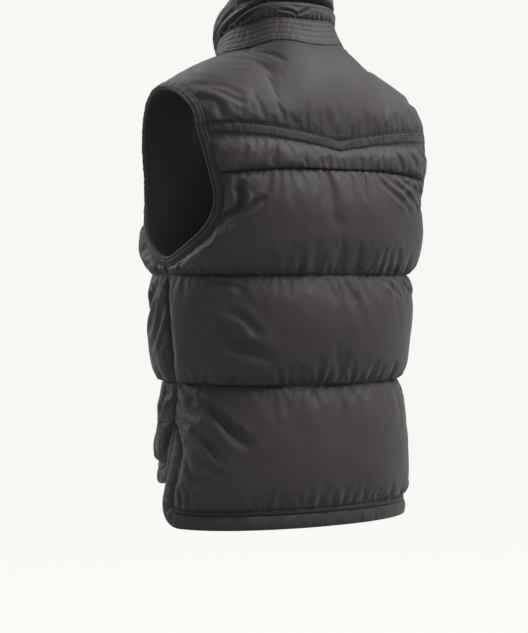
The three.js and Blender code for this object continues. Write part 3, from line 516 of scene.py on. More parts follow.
def pleatRelief(seed, along, away, spacing, depth, reach, width=2.2):
    dice = np.random.default_rng(seed)
    relief = np.zeros(np.shape(along))
    spot, end = along.min() - 10, along.max() + 10
    while spot < end:
        spot += spacing * dice.uniform(0.5, 1.6)
        deep, far = depth * dice.uniform(0.3, 1.3), reach * dice.uniform(0.3, 2.1)
        half, lean = width * dice.uniform(0.9, 1.9), dice.uniform(-0.35, 0.35)
        across = np.abs(along - spot - lean * away) / (half * (1 + away / 26))
        shape = 0.5 * np.exp(-((across - 1.8) / 0.9) ** 2) - np.exp(-across ** 2)
        relief += deep * shape * np.exp(-(away / far) ** 2)
    return relief


# Rows set closer together near both seams
def packed(count, squeeze=0.5):
    s = np.linspace(0, 1, count)
    return s - squeeze * np.sin(2 * math.pi * s) / (2 * math.pi)


def arcLengths(points):
    across = np.linalg.norm(np.diff(points, axis=1), axis=2)
    down = np.linalg.norm(np.diff(points, axis=0), axis=2)
    u = np.concatenate([np.zeros((len(points), 1)), np.cumsum(across, 1)], 1)
    u = u - u[:, u.shape[1] // 2][:, None]
    v = np.concatenate([np.zeros((1, points.shape[1])), -np.cumsum(down, 0)], 0)
    return np.stack([u, v], -1)


# Twice as many rows and columns on a smooth curve through the old ones
def finer(grid):
    def middles(g):
        ext = np.concatenate([2 * g[:1] - g[1:2], g, 2 * g[-1:] - g[-2:-1]])
        mid = (9 * (ext[1:-2] + ext[2:-1]) - ext[:-3] - ext[3:]) / 16
        out = np.empty((2 * len(g) - 1, *g.shape[1:]))
        out[0::2], out[1::2] = g, mid
        return out
    return middles(middles(grid).swapaxes(0, 1)).swapaxes(0, 1)


def gridObject(name, points):
    rows, columns = points.shape[:2]
    bpy.ops.object.select_all(action="DESELECT")
    bpy.ops.mesh.primitive_grid_add(x_subdivisions=columns - 1, y_subdivisions=rows - 1, size=1)
    obj = bpy.context.object
    obj.name = name
    obj.data.vertices.foreach_set("co", (points.reshape(-1, 3) * mm).astype(np.float32).ravel())
    obj.data.update()
    return obj


def readPoints(obj, shape):
    flatList = np.empty(len(obj.data.vertices) * 3, np.float32)
    obj.data.vertices.foreach_get("co", flatList)
    return flatList.reshape(shape).astype(float) / mm


# Cloth settings of the filled channels: the stitched rows are held, the cloth between them swells
# and moves no more than the least and a share of the filling beneath it
filled = {"pressure": 3.0, "shrink": -0.014, "frames": 20, "bending": 0.9, "least": 0.4, "cap": 0.36}


def swell(sheets):
    objects = {}
    for name, (start, _, _, held) in sheets.items():
        obj = gridObject(name + "Cloth", start)
        group = obj.vertex_groups.new(name="stitched")
        group.add(np.flatnonzero(held.ravel()).tolist(), 1.0, "REPLACE")
        cloth = obj.modifiers.new("cloth", "CLOTH")
        setup = cloth.settings
        setup.quality = 5
        setup.mass = 0.12
        setup.tension_stiffness = setup.compression_stiffness = 15
        setup.shear_stiffness = 4
        setup.bending_stiffness = filled["bending"]
        setup.vertex_group_mass = "stitched"
        setup.use_pressure = True
        setup.uniform_pressure_force = filled["pressure"]
        setup.shrink_min = filled["shrink"]
        setup.effector_weights.gravity = 0
        cloth.point_cache.frame_end = filled["frames"] + 5
        objects[name] = obj
    scene = bpy.context.scene
    for step in range(1, filled["frames"] + 1):
        scene.frame_set(step)
    out = {}
    for name, obj in objects.items():
        bpy.context.view_layer.objects.active = obj
        bpy.ops.object.modifier_apply(modifier="cloth")
        start, _, filling, _ = sheets[name]
        move = readPoints(obj, start.shape) - start
        size = np.linalg.norm(move, axis=-1, keepdims=True)
        most = filled["least"] + filled["cap"] * filling[..., None]
        out[name] = start + move * np.minimum(1, most / np.maximum(size, 1e-9))
        print("  swelled", name, "moved up to", round(float(size.max()), 1), "mm")
        bpy.data.objects.remove(obj)
    scene.frame_set(1)
    return out


def meshObject(name, points, faces):
    mesh = bpy.data.meshes.new(name)
    mesh.from_pydata(points, [], faces)
    mesh.polygons.foreach_set("use_smooth", np.ones(len(faces), bool))
    mesh.update()
    obj = bpy.data.objects.new(name, mesh)
    bpy.context.collection.objects.link(obj)
    return obj


# A closed wall from an outer grid and a coarser plain inner grid of the same outline
def wallObject(name, outer, inner, uv, attribute, closed=False):
    rows, columns = outer.shape[:2]
    innerRows, innerColumns = inner.shape[:2]
    rowStep, columnStep = (rows - 1) // (innerRows - 1), (columns - 1) // (innerColumns - 1)
    outerIds = np.arange(rows * columns).reshape(rows, columns)
    innerIds = np.arange(innerRows * innerColumns).reshape(innerRows, innerColumns) + rows * columns
    alongRow, alongColumn = (np.gradient(outer, axis=k)[rows // 2, columns // 2] for k in (1, 0))
    out = outer[rows // 2, columns // 2] - inner[innerRows // 2, innerColumns // 2]
    turned = np.dot(np.cross(alongRow, alongColumn), out) < 0

    def quads(ids):
        corners = ids[:-1, :-1], ids[:-1, 1:], ids[1:, 1:], ids[1:, :-1]
        return np.stack(corners, -1).reshape(-1, 4)

    outerFaces, innerFaces = quads(outerIds), quads(innerIds)[:, ::-1]
    sides = [(outerIds[:, -1], innerIds[:, -1], rowStep), (outerIds[::-1, 0], innerIds[::-1, 0], rowStep)]
    if not closed:
        sides += [(outerIds[0], innerIds[0], columnStep),
                  (outerIds[-1][::-1], innerIds[-1][::-1], columnStep)]
    walls = []
    for top, low, step in sides:
        for k in range(len(low) - 1):
            strip = top[k * step:(k + 1) * step + 1]
            walls.append([*strip[::-1].tolist(), int(low[k]), int(low[k + 1])])
    faces = outerFaces.tolist() + innerFaces.tolist() + walls
    if turned:
        faces = [face[::-1] for face in faces]
    points = np.concatenate([outer.reshape(-1, 3), inner.reshape(-1, 3)]) * mm
    obj = meshObject(name, points.tolist(), faces)
    mesh = obj.data
    layer = mesh.uv_layers.new(name="cloth")
    allUv = np.concatenate([uv.reshape(-1, 2), uv[::rowStep, ::columnStep].reshape(-1, 2)]) * mm
    loops = np.empty(len(mesh.loops), int)
    mesh.loops.foreach_get("vertex_index", loops)
    layer.data.foreach_set("uv", allUv[loops].astype(np.float32).ravel())
    # The "puff" attribute is the filling share from which the finish paints seam shade into the base colour;
    # inner faces get zero
    values = np.concatenate([attribute.ravel(), np.zeros(innerIds.size)]).astype(np.float32)
    mesh.attributes.new("puff", "FLOAT", "POINT").data.foreach_set("value", values)
    materialIds = np.zeros(len(faces), int)
    materialIds[len(outerFaces):len(outerFaces) + len(innerFaces)] = 1
    mesh.polygons.foreach_set("material_index", materialIds)
    bpy.ops.object.select_all(action="DESELECT")
    obj.select_set(True)
    bpy.context.view_layer.objects.active = obj
    if closed:
        bpy.ops.object.mode_set(mode="EDIT")
        bpy.ops.mesh.select_all(action="SELECT")
        bpy.ops.mesh.remove_doubles(threshold=0.00002)
        bpy.ops.object.mode_set(mode="OBJECT")
    bpy.ops.object.shade_smooth_by_angle(angle=math.radians(60))
    return obj


# Back and front panels, channel by channel: how far each puffs out and where it is fullest. Gathers are
# weaker on the calm spot, where the long folds by the armhole lie
panels = {
    "puff": {"blade": (6.5, 0.55), "chest": (12.5, 0.42), "waist": (14, 0.5), "skirt": (10.5, 0.4)},
    "rows": {"blade": 11, "chest": 45, "waist": 45, "skirt": 49},
    "columns": {"back": 149, "front": 67, "yoke": 97},
    "held": 0.6,  # below this much filling the stitches hold the cloth
    "foldsFrom": 5,  # and from this much on the folds have their full depth
    "underBand": 0.26,  # share of the blade's channel that lies under the yoke's strip
    "sag": {"most": 5.0, "from": 0.45, "over": 0.4, "end": 0.955},
    "calm": {"girth": 145, "level": -205, "tall": 1.4, "spread": 1100, "share": 0.8},
    "hemStrip": 7.0,
    "stripPuff": 1.6,
    "gathersAbove": {"spacing": 9, "depth": 1.25, "reach": 28, "width": 2.2},
    "gathersBelow": {"spacing": 8, "depth": 2.5, "reach": 12, "width": 2.0},
    "bladeGathers": 0.4,
}
# Long folds: girth from the centre back (the vest's left is positive) and level, from and to, width, depth
backFolds = (
    (146, -188, 150, -214, 5, 7), (149, -212, 168, -238, 5, 9), (120, -206, 156, -233, 4, 5.5),
    (167, -176, 167, -204, 3.5, 5),
    (158, -373, 104, -408, 8, 6.5), (148, -348, 112, -375, 5.5, 3.4), (170, -354, 136, -375, 5, 4),
    (178, -309, 138, -321, 4, 3), (162, -420, 148, -438, 4, 3), (190, -456, 166, -477, 5, 4),
    (180, -470, 128, -514, 6.5, 6.5), (224, -450, 170, -480, 6, 5), (226, -463, 190, -486, 5, 4),
    (192, -504, 154, -536, 5, 4.5), (201, -540, 180, -567, 4, 4),
    (183, -533, 158, -555, 5, 3), (210, -566, 200, -592, 4, 4), (198, -570, 188, -592, 4, 3),
    (156, -129, 170, -156, 4, 1.8), (141, -141, 150, -157, 3.5, 1.4), (96, -128, 112, -152, 4, 1.6),
    (-97, -172, -160, -212, 4, 2.6), (-62, -177, -108, -215, 4, 1.8), (-124, -178, -160, -206, 3.5, 2.6),
    (-80, -174, -130, -212, 4, 2), (-140, -176, -175, -206, 3.5, 2.6), (-120, -309, -170, -337, 4, 2.4),
    (-140, -308, -185, -335, 4, 2.4), (-72, -308, -110, -330, 4, 1.4), (-150, -450, -178, -482, 4, 2.4),
    (-120, -130, -135, -155, 4, 2.4), (-150, -128, -165, -150, 4, 2.4), (-95, -136, -104, -158, 4, 1.8),
    (-230, -330, -188, -372, 6, 5), (-236, -452, -190, -498, 6, 5), (-222, -470, -176, -520, 6, 4),
    (-178, -236, -206, -276, 6, 4), (30, -200, 14, -236, 8, 1.4), (-20, -336, -34, -370, 8, 1.4),
)
# The same on a front, with girth from the side seam
frontFolds = (
    (70, -186, 108, -232, 7, 5), (34, -196, 66, -248, 6, 4), (150, -190, 182, -214, 6, 4),
    (20, -318, 78, -352, 7, 6), (8, -346, 40, -388, 6, 4), (206, -330, 168, -352, 6, 3),
    (14, -455, 84, -508, 7, 6), (30, -470, 64, -530, 6, 4), (215, -380, 172, -415, 7, 5),
    (222, -470, 186, -498, 6, 4), (120, -466, 150, -486, 7, 3), (96, -360, 130, -384, 6, 3),
)
frontShoulderFolds = ((60, -60, 120, -96, 8, 3), (96, -110, 150, -128, 8, 4), (40, -96, 84, -130, 7, 3))
# On the yoke: across and level
yokeFolds = (
    (172, -60, 136, -73, 5, 3.2), (167, -71, 136, -82, 4, 2.6), (173, -78, 156, -102, 5, 2.6),
    (176, -69, 170, -98, 4, 2), (116, -23, 80, -36, 5, 2), (122, -33, 84, -41, 4, 1.6),
    (84, -8, 62, -22, 4, 1.2), (168, -52, 128, -60, 5, 1.4), (-172, -62, -140, -74, 5, 2),
    (-112, -24, -82, -36, 5, 1.4), (-99, -84, -98, -106, 3.5, 1.4), (50, -86, 56, -107, 3.5, 1.2),
)


def channelSheet(half, us, seed):
    names = ("chest", "waist", "skirt") if half.isFront else ("blade", "chest", "waist", "skirt")
    folds = frontFolds if half.isFront else backFolds
    sag, calm = panels["sag"], panels["calm"]
    layers = []
    for index, name in enumerate(names):
        puff, fullest = panels["puff"][name]
        t = (np.linspace(0, 1, panels["rows"][name]) if name == "blade"
             else packed(panels["rows"][name]))
        spots = channelSpots(half, name, np.abs(us), t)
        base, normal = half.place(spots)
        levels, width = spots[..., 1], half.middle(spots[..., 1])
        tAll = np.broadcast_to(t[:, None], levels.shape)
        tall = np.abs(spots[-1, :, 1] - spots[0, :, 1])[None, :]
        filledT = tAll
        if name == "blade":
            filledT = np.clip((tAll - panels["underBand"]) / (1 - panels["underBand"]), 0, 1)
        atSide = width * (1 - np.abs(us))[None, :]
        stripHeight = 0
        if name == "skirt":
            filledT = np.clip(tAll / (1 - panels["hemStrip"] / tall), 0, 1)
            below = ease((cut["ventTop"] + 6 - levels) / 20)
            inStrip = np.minimum((1 - tAll) * tall, atSide + 60 * (1 - below)) / panels["hemStrip"]
            stripHeight = panels["stripPuff"] * np.sin(math.pi * np.clip(inStrip, 0, 1)) ** 0.6
            atSide = np.maximum(atSide - panels["hemStrip"] * below, 0)
        filling = puff * fillingProfile(filledT, fullest) * edgeRise(atSide)
        if half.isFront:
            filling = filling * edgeRise(width - spots[..., 0] + 4)
        girth = spots[..., 0] if half.isFront else half.girth(spots) * np.sign(us)
        relief = foldRelief(folds, girth, levels)
        for key, away, turn in (("gathersAbove", filledT * tall, 1),
                                ("gathersBelow", (1 - filledT) * tall, 2)):
            share = panels["bladeGathers"] if name == "blade" else 1
            off = np.hypot(girth - calm["girth"], (levels - calm["level"]) * calm["tall"])
            share = share * (1 - calm["share"] * np.exp(-off ** 2 / calm["spread"]))
            relief = relief + share * pleatRelief(seed + index * 10 + turn, girth, away, **panels[key])
        relief = relief + 0.4 * softNoise(seed + index, girth, levels, 70)
        height = filling + np.minimum(1, filling / panels["foldsFrom"]) * relief
        drop = sag["most"] * (filling / puff) * ease((filledT - sag["from"]) / sag["over"])
        drop = drop * (1 - ease((filledT - sag["end"]) / (1 - sag["end"])))
        outer = base + normal * np.maximum(np.maximum(height, leastLift), stripHeight)[..., None]
        outer[..., 2] -= drop
        skip = 1 if index > 0 or half.isFront else 0
        inner = base - normal * cut["wall"]
        layers.append([grid[skip:] for grid in (outer, inner, filling, filling < panels["held"])])
    return joined(layers)


# The shoulders, front and back: how full, the height that the gathers reckon with, and the gathers
shoulders = {
    True: {"rows": 41, "puff": 4.6, "fullest": 0.75, "steep": 0.6, "ends": 1.0, "tall": 150,
           "low": {"spacing": 10, "depth": 2.4, "reach": 20},
           "high": {"spacing": 10, "depth": 0.7, "reach": 9}},
    False: {"rows": 41, "puff": 4.2, "fullest": 0.62, "steep": 0.36, "ends": 0.95, "tall": 110,
            "low": {"spacing": 9, "depth": 1.3, "reach": 12},
            "high": {"spacing": 10, "depth": 0.6, "reach": 8}},
    "held": 0.5, "byRidge": 0.35, "byRidgeTo": 0.4, "noise": 0.3, "noiseLength": 75, "foldsFrom": 3.5,
}


def shoulderSheet(isFront, us, seed):
    form, wide = shoulders[isFront], cut["shoulderTip"][0]
    t = np.linspace(0, 1, form["rows"])
    spots = shoulderSpots(isFront, np.abs(us), t)
    base, normal = shoulderPlace(isFront, spots[..., 0], spots[..., 1])
    tAll = np.broadcast_to(t[:, None], spots.shape[:2])
    filledT = np.clip(tAll / form["ends"], 0, 1)
    filling = form["puff"] * fillingProfile(filledT, form["fullest"], form["steep"])
    filling = filling * edgeRise(wide * (1 - np.abs(us)))[None, :]
    filling = filling * mix(shoulders["byRidge"], 1, ease(tAll / shoulders["byRidgeTo"]))
    x, z = base[..., 0] * (1 if isFront else signOf(us)), base[..., 2]
    if isFront:
        filling = filling * edgeRise(wide * np.abs(us) + 4)[None, :]
    share = 1 if isFront else 0.28 + 0.8 * (x / wide) ** 2
    relief = foldRelief(frontShoulderFolds if isFront else yokeFolds, x, z)
    relief = relief + share * pleatRelief(seed + 3, x, (1 - filledT) * form["tall"], **form["low"])
    relief = relief + pleatRelief(seed + 4, x, tAll * form["tall"], **form["high"])
    relief = relief + shoulders["noise"] * softNoise(seed, x, z, shoulders["noiseLength"])
    height = filling + np.minimum(1, filling / shoulders["foldsFrom"]) * relief
    outer = base + normal * np.maximum(height, leastLift)[..., None]
    return [outer, base - normal * cut["wall"], filling, filling < shoulders["held"]]


# Each sheet is its outer points, its inner points, the filling in millimetres, and where stitches hold it
sheets = {}
us = np.linspace(-1, 1, panels["columns"]["back"])
outer, inner, *rest = channelSheet(backHalf, us, 100)
sheets["back_panel"] = [*map(flared, mirrored((outer, inner), signOf(us))), *rest]
us = np.linspace(-1, 1, panels["columns"]["yoke"])
outer, inner, *rest = shoulderSheet(False, us, 200)
sheets["back_yoke"] = [*mirrored((outer, inner), signOf(us)), *rest]
for hand, side in hands:
    us = np.linspace(0, 1, panels["columns"]["front"])
    pair = shoulderSheet(True, us, 300 + side), channelSheet(frontHalf, us, 400 + 20 * side)
    outer, inner, *rest = joined(pair)
    sheets["front_" + hand] = [*mirrored((outer, inner), side), *rest]
print("panels laid out:", {name: sheet[0].shape[:2] for name, sheet in sheets.items()})

# The collar: a stitched stand under a puffed upper part. Shares run from the neck seam to the top edge
collar = {
    "standRows": 41, "upperRows": 37, "columns": 281, "endAngle": 175.0,
    "perDegree": 1.55, "endPerDegree": 1.6, "rise": 88, "seamRise": 35.6,
    "gathers": {"spacing": 9, "depth": 1.2, "reach": 6}, "foldsFrom": 4, "puckersFrom": 1.2,
    "stand": {"flat": (0.035, 0.50), "top": 0.4, "under": -0.016, "height": 2.6, "groove": 0.45,
              "grooveWidth": 0.012, "edge": 0.004, "lineLift": 0.15},
    "stitchShares": (0.04, 0.124, 0.208, 0.292, 0.37),
    "upper": ((0.4, 1.2), (0.43, 3.4), (0.48, 5.4), (0.55, 6.2), (0.62, 5.6), (0.68, 4.4), (0.74, 5.6),
              (0.82, 6.6), (0.90, 6.0), (0.96, 4.4), (1.0, 0.9)),
    "folds": ((-88, 57, 76, 61, 3.0, 5.2), (76, 60, 172, 40, 3.0, 4.6), (52, 47, 26, 41, 2.4, 2.6),
              (26, 41, 4, 47, 2.4, 2.2), (84, 50, 140, 40, 2.8, 3), (-88, 57, -182, 44, 3.2, 4.4),
              (-116, 66, -206, 54, 3, 3), (-130, 47, -214, 40, 2.8, 2.8), (140, 60, 226, 46, 3, 3.2),
              (60, 74, 130, 66, 3, 2.6), (-60, 72, 20, 76, 3.2, 1.8)),
}


def makeCollarFeet():
    back, front = (overShoulder(isFront, *neckLines[isFront].T) for isFront in (False, True))
    turns = neckTurns * 90
    return np.concatenate([turns, 180 - turns[-2::-1]]), np.concatenate([back, front[-2::-1]])


footAngles, collarFeet = makeCollarFeet()


def collarPlace(angle, share):
    angle, share = np.broadcast_arrays(np.asarray(angle, float), np.asarray(share, float))
    away = np.abs(angle)
    foot = np.stack([np.interp(away, footAngles, collarFeet[:, k]) for k in range(3)], -1)
    foot[..., 2] += cut["neckGap"]
    swing = np.radians(away)
    cos, top, neck = np.cos(swing), cut["collarTop"], cut["neck"]
    depth = np.where(away > 90, top["front"], top["back"]) * cos
    frontTop = mix(top["sideLevel"], top["frontLevel"], np.abs(cos) ** 1.25)
    level = np.where(away > 90, frontTop, mix(top["sideLevel"], top["backLevel"], cos))
    head = np.stack([top["halfWidth"] * np.sin(swing), depth, level], -1)
    point = mix(foot, head, share[..., None])
    lean = (1 - (1 - share) ** cut["collarLean"])[..., None]
    point[..., :2] = mix(foot, head, lean)[..., :2]
    normal = unit(np.stack([np.sin(swing) / neck["halfWidth"], cos / neck["back"], 0 * cos], -1))
    return mirrored((point, normal), signOf(angle))


def collarSheet(shares, heights, seed, isUpper):
    angles = np.linspace(-collar["endAngle"], collar["endAngle"], collar["columns"])
    base, normal = collarPlace(angles[None, :], shares[:, None])
    toZip = (collar["endAngle"] - np.abs(angles)) * collar["endPerDegree"]
    ends = (0.35 + 0.65 * edgeRise(toZip))[None, :]
    rise, along = crossed(shares * collar["rise"], angles * collar["perDegree"])
    height = heights[:, None] * ends
    if isUpper:
        fold = foldRelief(collar["folds"], along, rise)
        pleats = pleatRelief(seed + 1, along, np.abs(rise - collar["seamRise"]), **collar["gathers"])
        noise = 0.5 * softNoise(seed + 2, along * 0.4, rise, 26)
        height = height + np.minimum(1, height / collar["foldsFrom"]) * (fold + pleats + noise)
    else:
        pucker = 0.16 * softNoise(seed, along, rise * 0.3, 7)
        pucker = pucker + 0.2 * softNoise(seed + 1, along, rise * 0.3, 21)
        height = height + pucker * np.minimum(1, height / collar["puckersFrom"])
    outer = base + normal * np.maximum(height, leastLift)[..., None]
    return [outer, base - normal * cut["wall"], height, np.zeros(outer.shape[:2], bool)]


upperShares = np.linspace(1, collar["stand"]["top"], collar["upperRows"])
shareKeys, heightKeys = zip(*collar["upper"])
upperHeights = np.interp(upperShares, shareKeys, heightKeys)
upperHeights[1:-1] = (upperHeights[:-2] + 2 * upperHeights[1:-1] + upperHeights[2:]) / 4
sheets["collar_upper"] = collarSheet(upperShares, upperHeights, 500, True)

for sheet in sheets.values():
    held = sheet[3]
    held[[0, -1]] = True
    held[:, [0, -1]] = True
swelled = swell(sheets)
print("filled channels swelled")

pieces = {}
for name, (start, inner, filling, held) in sheets.items():
    outer = finer(swelled[name])
    # Filling share for the nylon's painted seam shade: low filling at the stitched seams paints the cloth
    # darker
    paintedShadeFade = np.clip(finer(filling[..., None])[..., 0] / seamShadeFadeHeight["panel"], 0, 1)
    pieces[name] = wallObject(name + "Padded", outer, inner[::2, ::2], arcLengths(outer), paintedShadeFade)
    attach(pieces[name], "vest")
    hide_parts(name)
    "collar_nylon" if name == "collar_upper" else "shell_nylon"
print("padded pieces made")


# Bands, bindings and the collar's stand: strips with a profile across them
def asSheet(obj, node, flat, restsOn):
    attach(obj, "vest")
    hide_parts(node)
    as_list(restsOn)
    return obj


def stripObject(name, node, grids, width, restsOn, closed=False, depth=cut["wall"]):
    base, normal, heights = grids
    outer = base + normal * heights[..., None]
    inner = (base - normal * depth)[::2, ::2]
    # Crown height share for the painted shade in the strips' grooves and stitched lines: lower cloth is
    # painted darker
    paintedShadeFade = np.clip(heights / seamShadeFadeHeight["strip"], 0, 1)
    obj = wallObject(name, outer, inner, arcLengths(outer), paintedShadeFade, closed)
    return asSheet(obj, node, (width, runLength(base)[-1] * mm), restsOn)


def groove(distance, width):
    return np.exp(-(distance / width) ** 2)


def runLength(grid):
    return lengthAlong(grid[:, grid.shape[1] // 2])


def stitchLine(base, normal, k, lift):
    return base[:, k] + normal[:, k] * np.reshape(lift, (-1, 1)), normal[:, k]


def puckers(seed, run, across, amount, wavelength=8.0):
    a, b = crossed(run, across)
    small = softNoise(seed, a, b * 0.35, wavelength)
    return amount * (small + 0.6 * softNoise(seed + 1, a, b * 0.2, wavelength * 2.3))


# The armhole's band: a rolled edge, a crowned band and a stitched line
bindingLook = {
    "flatWidth": 0.0135, "points": 15, "overlap": 0.8, "crown": 1.7, "crownFrom": 1.5, "crownOver": 11.5,
    "roll": {"width": 2.8, "half": 1.4, "radius": 1.6, "height": 2.1}, "line": 8.9, "lineWidth": 0.9,
    "piping": 2.9, "pipingDepth": 0.9, "pipingWidth": 0.6, "puckers": 0.22,
}
stitchLines, collarLines = [], []


def bindingStrip(side):
    look, roll = bindingLook, bindingLook["roll"]
    away = np.linspace(cut["binding"] + look["overlap"], 0, look["points"])

    def byArmhole(half, shares):
        return half.place(half.insideArmhole(*crossed(shares, away)))

    def byShoulder(isFront, vs):
        v, distance = crossed(vs, away)
        return shoulderPlace(isFront, insetShare(isFront, v, distance), v)

    parts = joined([byArmhole(backHalf, np.linspace(0, 1, 66)[:-1]),
                    byArmhole(frontHalf, np.linspace(1, 0, 50)[:-1]),
                    byShoulder(True, np.linspace(0, 1, 52)[:-1]),
                    byShoulder(False, np.linspace(1, 0, 38)[:-1])])
    base, normal = mirrored([np.concatenate([grid, grid[:1]]) for grid in parts], side)
    rolled = np.sqrt(np.clip(1 - ((away - roll["half"]) / roll["radius"]) ** 2, 0, 1)) * roll["height"]
    crown = np.sin(math.pi * np.clip((away - look["crownFrom"]) / look["crownOver"], 0, 1)) ** 0.6
    heights = np.maximum(np.where(away < roll["width"], rolled, 0), 0.5 + look["crown"] * crown)
    heights = heights - groove(away - look["line"], look["lineWidth"])
    heights = heights - look["pipingDepth"] * groove(away - look["piping"], look["pipingWidth"])
    creases = puckers(600 + side, runLength(base), away, look["puckers"])
    heights = np.maximum(heights, leastLift)[None, :] + creases
    heights[-1] = heights[0]
    return base, normal, np.maximum(heights, 0.1)


for hand, side in hands:
    grids = base, normal, heights = bindingStrip(side)
    under = ["back_panelPadded", "back_yokePadded", "front_" + hand + "Padded"]
    pieces["binding_" + hand] = stripObject(
        "armholeBinding" + hand.title(), "armhole_binding_" + hand, grids,
        bindingLook["flatWidth"], under, closed=True)
    k = round((1 - bindingLook["line"] / cut["binding"]) * (bindingLook["points"] - 1))
    stitchLines.append(stitchLine(base, normal, k, heights[:, k] + 0.1))
print("armhole bindings made")

# The hem's band, with its steps down the side, round the corner and along the bottom; inside it runs
# a second line of stitches
hemLook = {
    "flatWidth": 0.019, "points": 13, "overlap": -0.03, "crown": 2.0, "puckers": 0.34, "lineLift": 0.9,
    "pinches": {"spacing": 46, "depth": 1.0, "reach": 12, "width": 1.8},
    "steps": {False: (31, 23, 76), True: (31, 23, 101)},
    "innerSteps": (40, 20, 80), "innerEnds": (0.25, 0.01), "innerLift": 0.45,
}


def hemStrip(half, side, shares, counts, start, end):
    parts = []
    runs = zip((hemSide, hemTurn, hemStraight), (start, 0, 1), (1, 1, end), counts)
    for spotAt, first, last, count in runs:
        steps = np.linspace(first, last, count)[:count if spotAt is hemStraight else -1]
        parts.append(half.place(spotAt(half, *crossed(steps, shares))))
    return mirrored(joined(parts), side)


def hemBand(half, side):
    shares = np.linspace(1, 0, hemLook["points"])
    return hemStrip(half, side, shares, hemLook["steps"][half.isFront], hemLook["overlap"], 0)


def hemHeights(base, seed):
    run, share, wide = runLength(base), np.linspace(1, 0, hemLook["points"]), cut["hemBand"]
    crown = 0.5 + hemLook["crown"] * np.sin(math.pi * np.clip(share * 1.02 - 0.01, 0.02, 0.98)) ** 0.5
    creases = puckers(seed, run, share * wide, hemLook["puckers"], 11)
    creases = creases + pleatRelief(seed, *crossed(run, (1 - share) * wide), **hemLook["pinches"])
    return np.maximum(crown[None, :] + creases * np.sin(math.pi * share) ** 0.5, 0.1)


left, right = hemBand(backHalf, 1), hemBand(backHalf, -1)
base, normal = (np.concatenate([a, b[-2::-1]]) for a, b in zip(left, right))
bands = [("back", flared(base), normal, 700, "backHemBand", "back_hem_band", "back_panelPadded")]
for hand, side in hands:
    bands.append((hand, *hemBand(frontHalf, side), 710 + side, "frontHemBand" + hand.title(),
                  "front_hem_band_" + hand, "front_" + hand + "Padded"))
for key, base, normal, seed, name, node, under in bands:
    pieces["hem_" + key] = stripObject(name, node, (base, normal, hemHeights(base, seed)),
                                       hemLook["flatWidth"], [under])
    stitchLines.append(stitchLine(base, normal, 0, hemLook["lineLift"]))
print("hem bands made")

# The flat strip over the join of yoke and back, with a stitched line near each edge
yokeBandLook = {
    "flatWidth": 0.0135, "halfHeight": 6.0, "thickness": 1.0, "clearance": 0.35, "short": 5.0,
    "line": 4.4, "lineDepth": 0.25, "lineWidth": 0.9, "puckers": 0.24, "points": 15, "columns": 221,
}


def yokeBandStrip(lifts):
    look = yokeBandLook
    us = np.linspace(-1, 1, look["columns"])
    away, lift = crossed(np.abs(us), lifts)
    level = joinLevelAt(away) + lift
    spots = flat(mix(backHalf.middle(level), edgeIn + look["short"], away), level)
    base, normal = mirrored(backHalf.place(spots), signOf(us)[:, None])
    crown = np.sqrt(np.clip(1.02 - (np.abs(lifts) / look["halfHeight"]) ** 4, 0, 1))
    crown = look["clearance"] + look["thickness"] * crown
    crown = crown - look["lineDepth"] * groove(np.abs(lifts) - look["line"], look["lineWidth"])
    heights = crown[None, :] + puckers(800, runLength(base), lifts, look["puckers"], 7)
    return base, normal, np.maximum(heights, look["clearance"])


lifts = np.linspace(yokeBandLook["halfHeight"], -yokeBandLook["halfHeight"], yokeBandLook["points"])
grids = base, normal, heights = yokeBandStrip(lifts)
pieces["yoke_band"] = stripObject(
    "yokeBandStrip", "yoke_band", grids, yokeBandLook["flatWidth"],
    ["back_panelPadded", "back_yokePadded"], depth=-yokeBandLook["clearance"])
for lift in (yokeBandLook["line"], -yokeBandLook["line"]):
    k = int(np.argmin(np.abs(lifts - lift)))
    stitchLines.append(stitchLine(base, normal, k, heights[:, k] + 0.1))
print("yoke band made")

# The collar's stand: its lowest row goes under the panels
form = collar["stand"]
standShares = np.linspace(form["top"], 0, collar["standRows"])
standShares[-1] = form["under"]
standHeights = np.full(collar["standRows"], form["height"])
for share in collar["stitchShares"]:
    standHeights -= form["groove"] * groove(standShares - share, form["grooveWidth"])
toEdge = np.minimum(standShares, form["top"] - standShares) + form["edge"]
standHeights *= np.clip(toEdge / form["grooveWidth"], 0.1, 1) ** 0.5
outer, inner, height, _ = collarSheet(standShares, standHeights, 560, False)
# Height share for the painted shade in the stand's stitched grooves: lower cloth is painted darker
paintedShadeFade = np.clip(height / seamShadeFadeHeight["stand"], 0, 1)
stand = wallObject("collarStandStitched", outer, inner[::2, ::2], arcLengths(outer), paintedShadeFade)
pieces["collar_stand"] = asSheet(stand, "collar_stand", form["flat"],
                                 ["back_yokePadded", "front_leftPadded", "front_rightPadded"])
for share in collar["stitchShares"]:
    k = int(np.argmin(np.abs(standShares - share)))
    direction = unit(outer[k] - inner[k])
    collarLines.append((outer[k] + direction * form["lineLift"], direction))
print("collar stand made")

# Zip: tapes behind the front edges, with interleaving teeth
zipLook = {
    "flatWidth": 0.013, "front": -5.3, "thickness": 1.2, "counts": (121, 42, 28), "top": 0.92,
    "xs": (0.3, 1.6, 3.0, 3.3, 5.0, 7.0, 9.0, 11.0, 13.0),
    "pitch": 2.7, "tooth": (3.3, 1.5, 2.3), "bevel": 0.4, "toothX": 1.3, "toothLift": 1.2,
}


